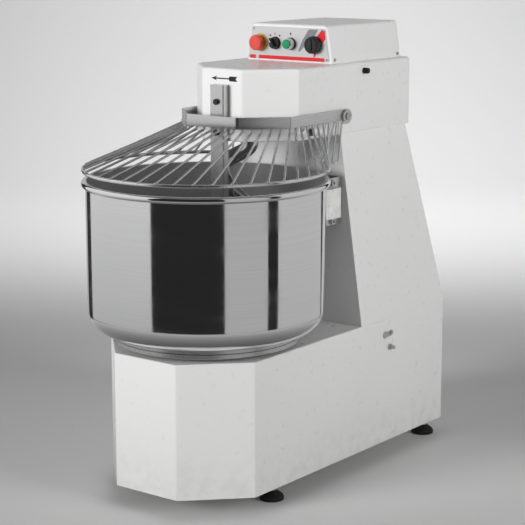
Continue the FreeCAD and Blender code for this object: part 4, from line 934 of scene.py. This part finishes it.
def make_start_button():
    """Green cap, slightly domed, in a bright bezel with a black seat."""
    x = (start_low.x + start_high.x) / 2
    radius = (start_high.x - start_low.x) / 2
    reach = start_high.y - start_low.y
    profile = [(0.0, reach), (radius * 0.55, reach - 0.0003)]
    profile += arc((radius - 0.0012, reach - 0.0017), 0.0012, 75, 0, 5)
    profile += [(radius, 0.016), (0.006, 0.016), (0.006, 0.0), (0.0, 0.0)]
    bm = turned(profile, 72)
    bm.transform(facing_front(x, start_high.y, control_z))
    piece("start_cap", bm, green_plastic, "start_button", "green_plastic", ("start_button",), sharp=40)

    low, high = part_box("start_bezel")
    flange = (high.x - low.x) / 2
    reach = high.y - low.y
    seat = high.y - panel_y
    bore = radius + running_gap
    body = flange - 0.0015
    skirt = seat + 0.003
    profile = [(bore, 0.0), (barrel_radius, 0.0), (barrel_radius, seat), (flange, seat)]
    profile += [(flange, seat + 0.0022), (flange - 0.0008, skirt), (body, skirt)]
    profile += [(body, seat + 0.0125), (body - 0.0003, seat + 0.0129), (body, seat + 0.0133)]
    profile += arc((body - 0.0008, reach - 0.0008), 0.0008, 0, 90, 5)
    profile += [(bore + 0.0003, reach), (bore, reach - 0.0004)]
    bm = ring_turned(profile)
    for face in bm.faces:
        centre = face.calc_center_median()
        on_skirt = hypot(centre.x, centre.y) > body + 0.0001 and centre.z < skirt + 0.0001
        face.material_index = int(on_skirt)
    bm.transform(facing_front(x, high.y, control_z))
    piece("start_bezel_ring", bm, [mirror_steel, black_plastic], "frame", "polished_steel",
          ("start_bezel",), sharp=35)


def make_selector():
    """Black switch: a round skirt and a raised grip bar with a white pointer line."""
    low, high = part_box("selector_knob")
    x = (low.x + high.x) / 2
    radius = 0.0125
    reach = high.y - low.y
    skirt = reach - 0.009
    profile = [(0.0, skirt - 0.0002), (radius * 0.8, skirt)]
    profile += arc((radius - 0.001, skirt - 0.001), 0.001, 90, 0, 4)
    profile += [(radius, skirt - 0.007), (0.008, skirt - 0.007), (0.008, 0.0), (0.0, 0.0)]
    bm = turned(profile, 72)
    grip = bmesh.new()
    grip_size = Matrix.Diagonal((0.008, 0.0242, 0.010, 1))
    verts = bmesh.ops.create_cube(grip, size=1.0, matrix=grip_size)["verts"]
    bmesh.ops.scale(grip, vec=(0.82, 0.97, 1.0), verts=[v for v in verts if v.co.z > 0])
    bevelled(grip, grip.edges[:], 0.0012, 4)
    turn = Matrix.Rotation(radians(35), 4, "Z")
    add_part(bm, grip, turn @ Matrix.Translation((0, 0, skirt + 0.004)))
    bm.transform(facing_front(x, high.y, control_z))
    piece("selector_switch", bm, black_plastic, "selector_knob", "black_plastic",
          ("selector_knob",), sharp=35)
    mark = bmesh.new()
    add_block(mark, (-0.0009, 0.0028, reach - 0.0002), (0.0009, 0.0108, reach + ink_thick), 0.0001)
    mark.transform(facing_front(x, high.y, control_z) @ turn)
    piece("selector_pointer", mark, white_ink, "selector_knob", "white_plastic")


def fluted_ring(bm, radius, depth, flutes, z):
    """One ring of vertices whose radius dips at each flute."""
    steps = flutes * 10
    verts = circle(bm, steps, radius, z)
    for vert in verts:
        angle = atan2(vert.co.y, vert.co.x)
        wave = (0.5 + 0.5 * cos(flutes * angle)) ** 3
        dip = 1.0 - depth * wave / radius
        vert.co.x *= dip
        vert.co.y *= dip
    return edges_of(verts)


def make_timer():
    """Black timer knob: fluted side, rounded shoulder, sunk cap and a low grip bar across its face."""
    x = (timer_low.x + timer_high.x) / 2
    radius = 0.019
    reach = timer_high.y - timer_low.y
    skirt = reach - 0.015
    levels = [(radius, 0.0, skirt), (radius, 0.0, skirt + 0.002), (radius - 0.0002, 0.0010, skirt + 0.0024),
              (radius - 0.0006, 0.0011, reach - 0.003), (radius - 0.0016, 0.0010, reach - 0.0012),
              (radius - 0.0032, 0.0006, reach - 0.0003), (radius - 0.0050, 0.0, reach),
              (radius - 0.0058, 0.0, reach - 0.0003), (radius - 0.0062, 0.0, reach - 0.0008),
              (0.004, 0.0, reach - 0.0008)]
    bm = bmesh.new()
    joined_rings(bm, [fluted_ring(bm, r, depth, 12, z) for r, depth, z in levels])
    stem = turned([(0.0, 0.0), (0.006, 0.0), (0.006, skirt + 0.001), (0.0, skirt + 0.001)], 40)
    add_part(bm, stem, Matrix.Identity(4))
    add_block(bm, (-0.0032, -0.0126, reach - 0.0014), (0.0032, 0.0126, reach + 0.0016), 0.0012)
    bm.transform(facing_front(x, timer_high.y, control_z))
    piece("timer_dial", bm, black_plastic, "timer_knob", "black_plastic", ("timer_knob",), sharp=35)


# ---------------------------------------- fixings
def socket_screw(radius, height, recess):
    """Button head with a sunk six-sided socket, turned about Z with its seat at zero."""
    flat = radius * 0.62
    socket = radius * 0.42
    bm = bmesh.new()
    profile = [(radius, 0.0), (radius, height * 0.25)]
    profile += [(radius * 0.93, height * 0.62), (radius * 0.8, height * 0.86), (flat, height)]
    levels = [(r, z, False) for r, z in profile]
    levels += [(socket, height, True), (socket, height - recess, True)]
    rings = []
    for r, z, six_sided in levels:
        verts = circle(bm, 36, r, z)
        if six_sided:
            for vert in verts:
                angle = atan2(vert.co.y, vert.co.x) % radians(60) - radians(30)
                grow = cos(radians(30)) / cos(angle)
                vert.co.x *= grow
                vert.co.y *= grow
        rings.append(edges_of(verts))
    joined_rings(bm, rings)
    return bm


def islands(node):
    """Boxes of a node's separate solids, found by the vertices that share a place."""
    bm = bmesh.new()
    bm.from_mesh(nodes[node].data)
    bmesh.ops.remove_doubles(bm, verts=bm.verts, dist=1e-6)
    left = set(bm.verts)
    boxes = []
    while left:
        stack = [left.pop()]
        found = list(stack)
        while stack:
            for edge in stack.pop().link_edges:
                for vert in edge.verts:
                    if vert in left:
                        left.discard(vert)
                        stack.append(vert)
                        found.append(vert)
        low = Vector(min(v.co[i] for v in found) for i in range(3))
        high = Vector(max(v.co[i] for v in found) for i in range(3))
        boxes.append((low, high))
    bm.free()
    return sorted(boxes, key=lambda pair: tuple(round(c, 4) for c in pair[0]))


def make_hood_screws():
    """Button screws at the plate's corners and along the hood's sides."""
    bm = bmesh.new()
    for low, high in islands("panel_screws"):
        middle = (low + high) / 2
        across = high - low
        if across.y > across.x:
            screw = socket_screw(across.x / 2, 0.0013, 0.0008)
            add_part(bm, screw, facing_front(middle.x, low.y + 0.0012, middle.z))
        else:
            side = 1 if middle.x > 0 else -1
            seat = (high.x if side > 0 else low.x) - side * 0.0016
            screw = socket_screw(0.0035, 0.0018, 0.0010)
            add_part(bm, screw, facing_side(seat, middle.y, middle.z, side))
    piece("hood_screws", bm, zinc, "frame", "zinc_steel", ("panel_screws",), sharp=30)


def make_lift_stops():
    """Black rubber buttons on the head's sides that the guard's arms meet."""
    bm = bmesh.new()
    for low, high in islands("guard_bumpers"):
        side = 1 if low.x > 0 else -1
        middle = (low + high) / 2
        radius = (high.y - low.y) / 2
        length = high.x - low.x
        profile = [(0.0, 0.0), (radius * 0.9, 0.0), (radius, 0.0008),
                   (radius, length * 0.55), (radius * 0.97, length * 0.75)]
        profile += arc((radius * 0.62, length - radius * 0.34), radius * 0.34, 10, 90, 6)
        profile += [(0.0, length)]
        base = low.x if side > 0 else high.x
        add_part(bm, turned(profile, 40), facing_side(base, middle.y, middle.z, side))
    piece("lift_stops", bm, foot_black, "frame", "foot_rubber", ("guard_bumpers",), sharp=40)


def make_feet():
    """Moulded rubber feet with two grip grooves and a ribbed skirt."""
    for name in ("foot_front_left", "foot_front_right", "foot_rear_left", "foot_rear_right"):
        low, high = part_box(name)
        radius = (high.x - low.x) / 2
        tall = high.z - low.z
        bore = 0.00605
        profile = [(0.0, 0.0), (radius * 0.3, 0.0), (radius * 0.34, 0.0009), (radius * 0.4, 0.0)]
        profile += arc((radius - 0.0015, 0.0015), 0.0015, -90, 0, 4)
        profile += [(radius, 0.0030), (radius - 0.0006, 0.0034), (radius, 0.0038), (radius, 0.0058)]
        profile += rounded([(radius, 0.0060), (radius - 0.002, 0.010), (radius - 0.007, 0.014),
                            (0.0135, tall - 0.0025), (0.012, tall)], 0.003, 4)
        profile += [(bore, tall), (bore, 0.0072), (0.0, 0.0072)]
        bm = turned(profile, 72)
        bm.transform(Matrix.Translation(((low.x + high.x) / 2, (low.y + high.y) / 2, 0)))
        piece(name + "_pad", bm, foot_black, name, "foot_rubber", (name,), sharp=30)


# ---------------------------------------- printed marks
def add_print(bm, outline, y, thick=ink_thick):
    """A flat printed shape on a face that looks towards the operator."""
    verts = [bm.verts.new((x, y, z)) for x, z in outline]
    face = bm.faces.new(verts)
    grown = bmesh.ops.extrude_face_region(bm, geom=[face])["geom"]
    bmesh.ops.translate(bm, vec=(0, -thick, 0), verts=verts_in(grown))


def mark_piece(name, outlines, y, material, slot):
    bm = bmesh.new()
    for outline in outlines:
        add_print(bm, outline, y)
    return piece(name, bm, material, "frame", slot, sharp=20)


def disc(x, z, radius, steps=24):
    turn = 2 * pi / steps
    return [(x + radius * cos(turn * i), z + radius * sin(turn * i)) for i in range(steps)]


def make_panel_marks():
    """Plain coloured bars and position marks on the fascia plate."""
    low = panel_low.z
    high = panel_high.z
    bar_low = low + 0.0006
    bar_high = bar_low + 0.0078
    base_bars = [[(-0.1045, bar_low), (-0.0885, bar_low), (-0.0885, bar_high), (-0.1030, bar_high)],
                 [(-0.0800, bar_low), (0.0985, bar_low), (0.0975, bar_high), (-0.0800, bar_high)]]
    slant = [[(0.0900, high - 0.0025), (0.0985, high - 0.0045), (0.1005, high - 0.0220),
              (0.0860, control_z - 0.0040), (0.0720, control_z - 0.0270), (0.0690, control_z - 0.0270),
              (0.0700, control_z - 0.0060), (0.0760, high - 0.0190)]]
    mark_piece("red_bars", base_bars + slant, panel_y, red_ink, "red_plastic")
    grey = [[(0.0560, high - 0.0025), (0.0810, high - 0.0025), (0.0720, high - 0.0160),
             (0.0500, control_z + 0.0030), (0.0330, control_z - 0.0160), (0.0270, control_z - 0.0160),
             (0.0400, control_z + 0.0100)]]
    mark_piece("grey_bar", grey, panel_y, grey_ink, "grey_plastic")
    selector_x = -0.034
    dot_z = control_z + 0.0165
    marks = [disc(selector_x - 0.0140, dot_z, 0.0020), disc(selector_x + 0.0115, dot_z, 0.0020)]
    start_x = (start_low.x + start_high.x) / 2
    marks += [[(start_x - 0.0025, control_z + 0.0185), (start_x - 0.0025, control_z + 0.0245),
               (start_x + 0.0025, control_z + 0.0215)]]
    mark_piece("position_marks", marks, panel_y, black_ink, "black_plastic")
    bm = ring_turned([(0.0017, 0.0), (0.0026, 0.0), (0.0026, ink_thick), (0.0017, ink_thick)], 32)
    bm.transform(facing_front(selector_x - 0.0010, panel_y, control_z + 0.0200))
    piece("stop_position_mark", bm, red_ink, "frame", "red_plastic", sharp=20)


def make_direction_arrow():
    """Fletched arrow on the head's nose: the way the bowl turns."""
    z = 0.874
    tip = -0.028
    tail = 0.041
    shaft = 0.0013
    barb = 0.0052
    wing = tip + 0.0155
    notch = tip + 0.0115
    rod_start = tip + 0.0110
    rod_end = tail - 0.012
    head = [(tip, z), (wing, z + barb), (notch, z + shaft), (notch, z - shaft), (wing, z - barb)]
    rod = [(rod_start, z - shaft), (rod_end, z - shaft), (rod_end, z + shaft), (rod_start, z + shaft)]
    feathers = [[(tail - 0.0240, z), (tail - 0.0200, z + side * barb), (tail, z + side * barb),
                 (tail - 0.0045, z)] for side in (-1, 1)]
    bm = bmesh.new()
    for index, outline in enumerate([head, rod] + feathers):
        add_print(bm, outline, head_low.y, ink_thick + 0.00002 * (index % 2))
    piece("direction_arrow", bm, black_ink, "frame", "black_plastic", sharp=20)


make_camera()
make_floor()
make_reflection_ring()
make_lights()
coat_cad_nodes()
make_bowl_piece()
make_spiral_piece()
make_guard_band()
make_guard_hoop()
make_guard_spokes()
make_stop_button()
make_start_button()
make_selector()
make_timer()
make_hood_screws()
make_lift_stops()
make_feet()
make_panel_marks()
make_direction_arrow()

bpy.context.view_layer.update()
bpy.context.scene.view_settings.view_transform = "Standard"
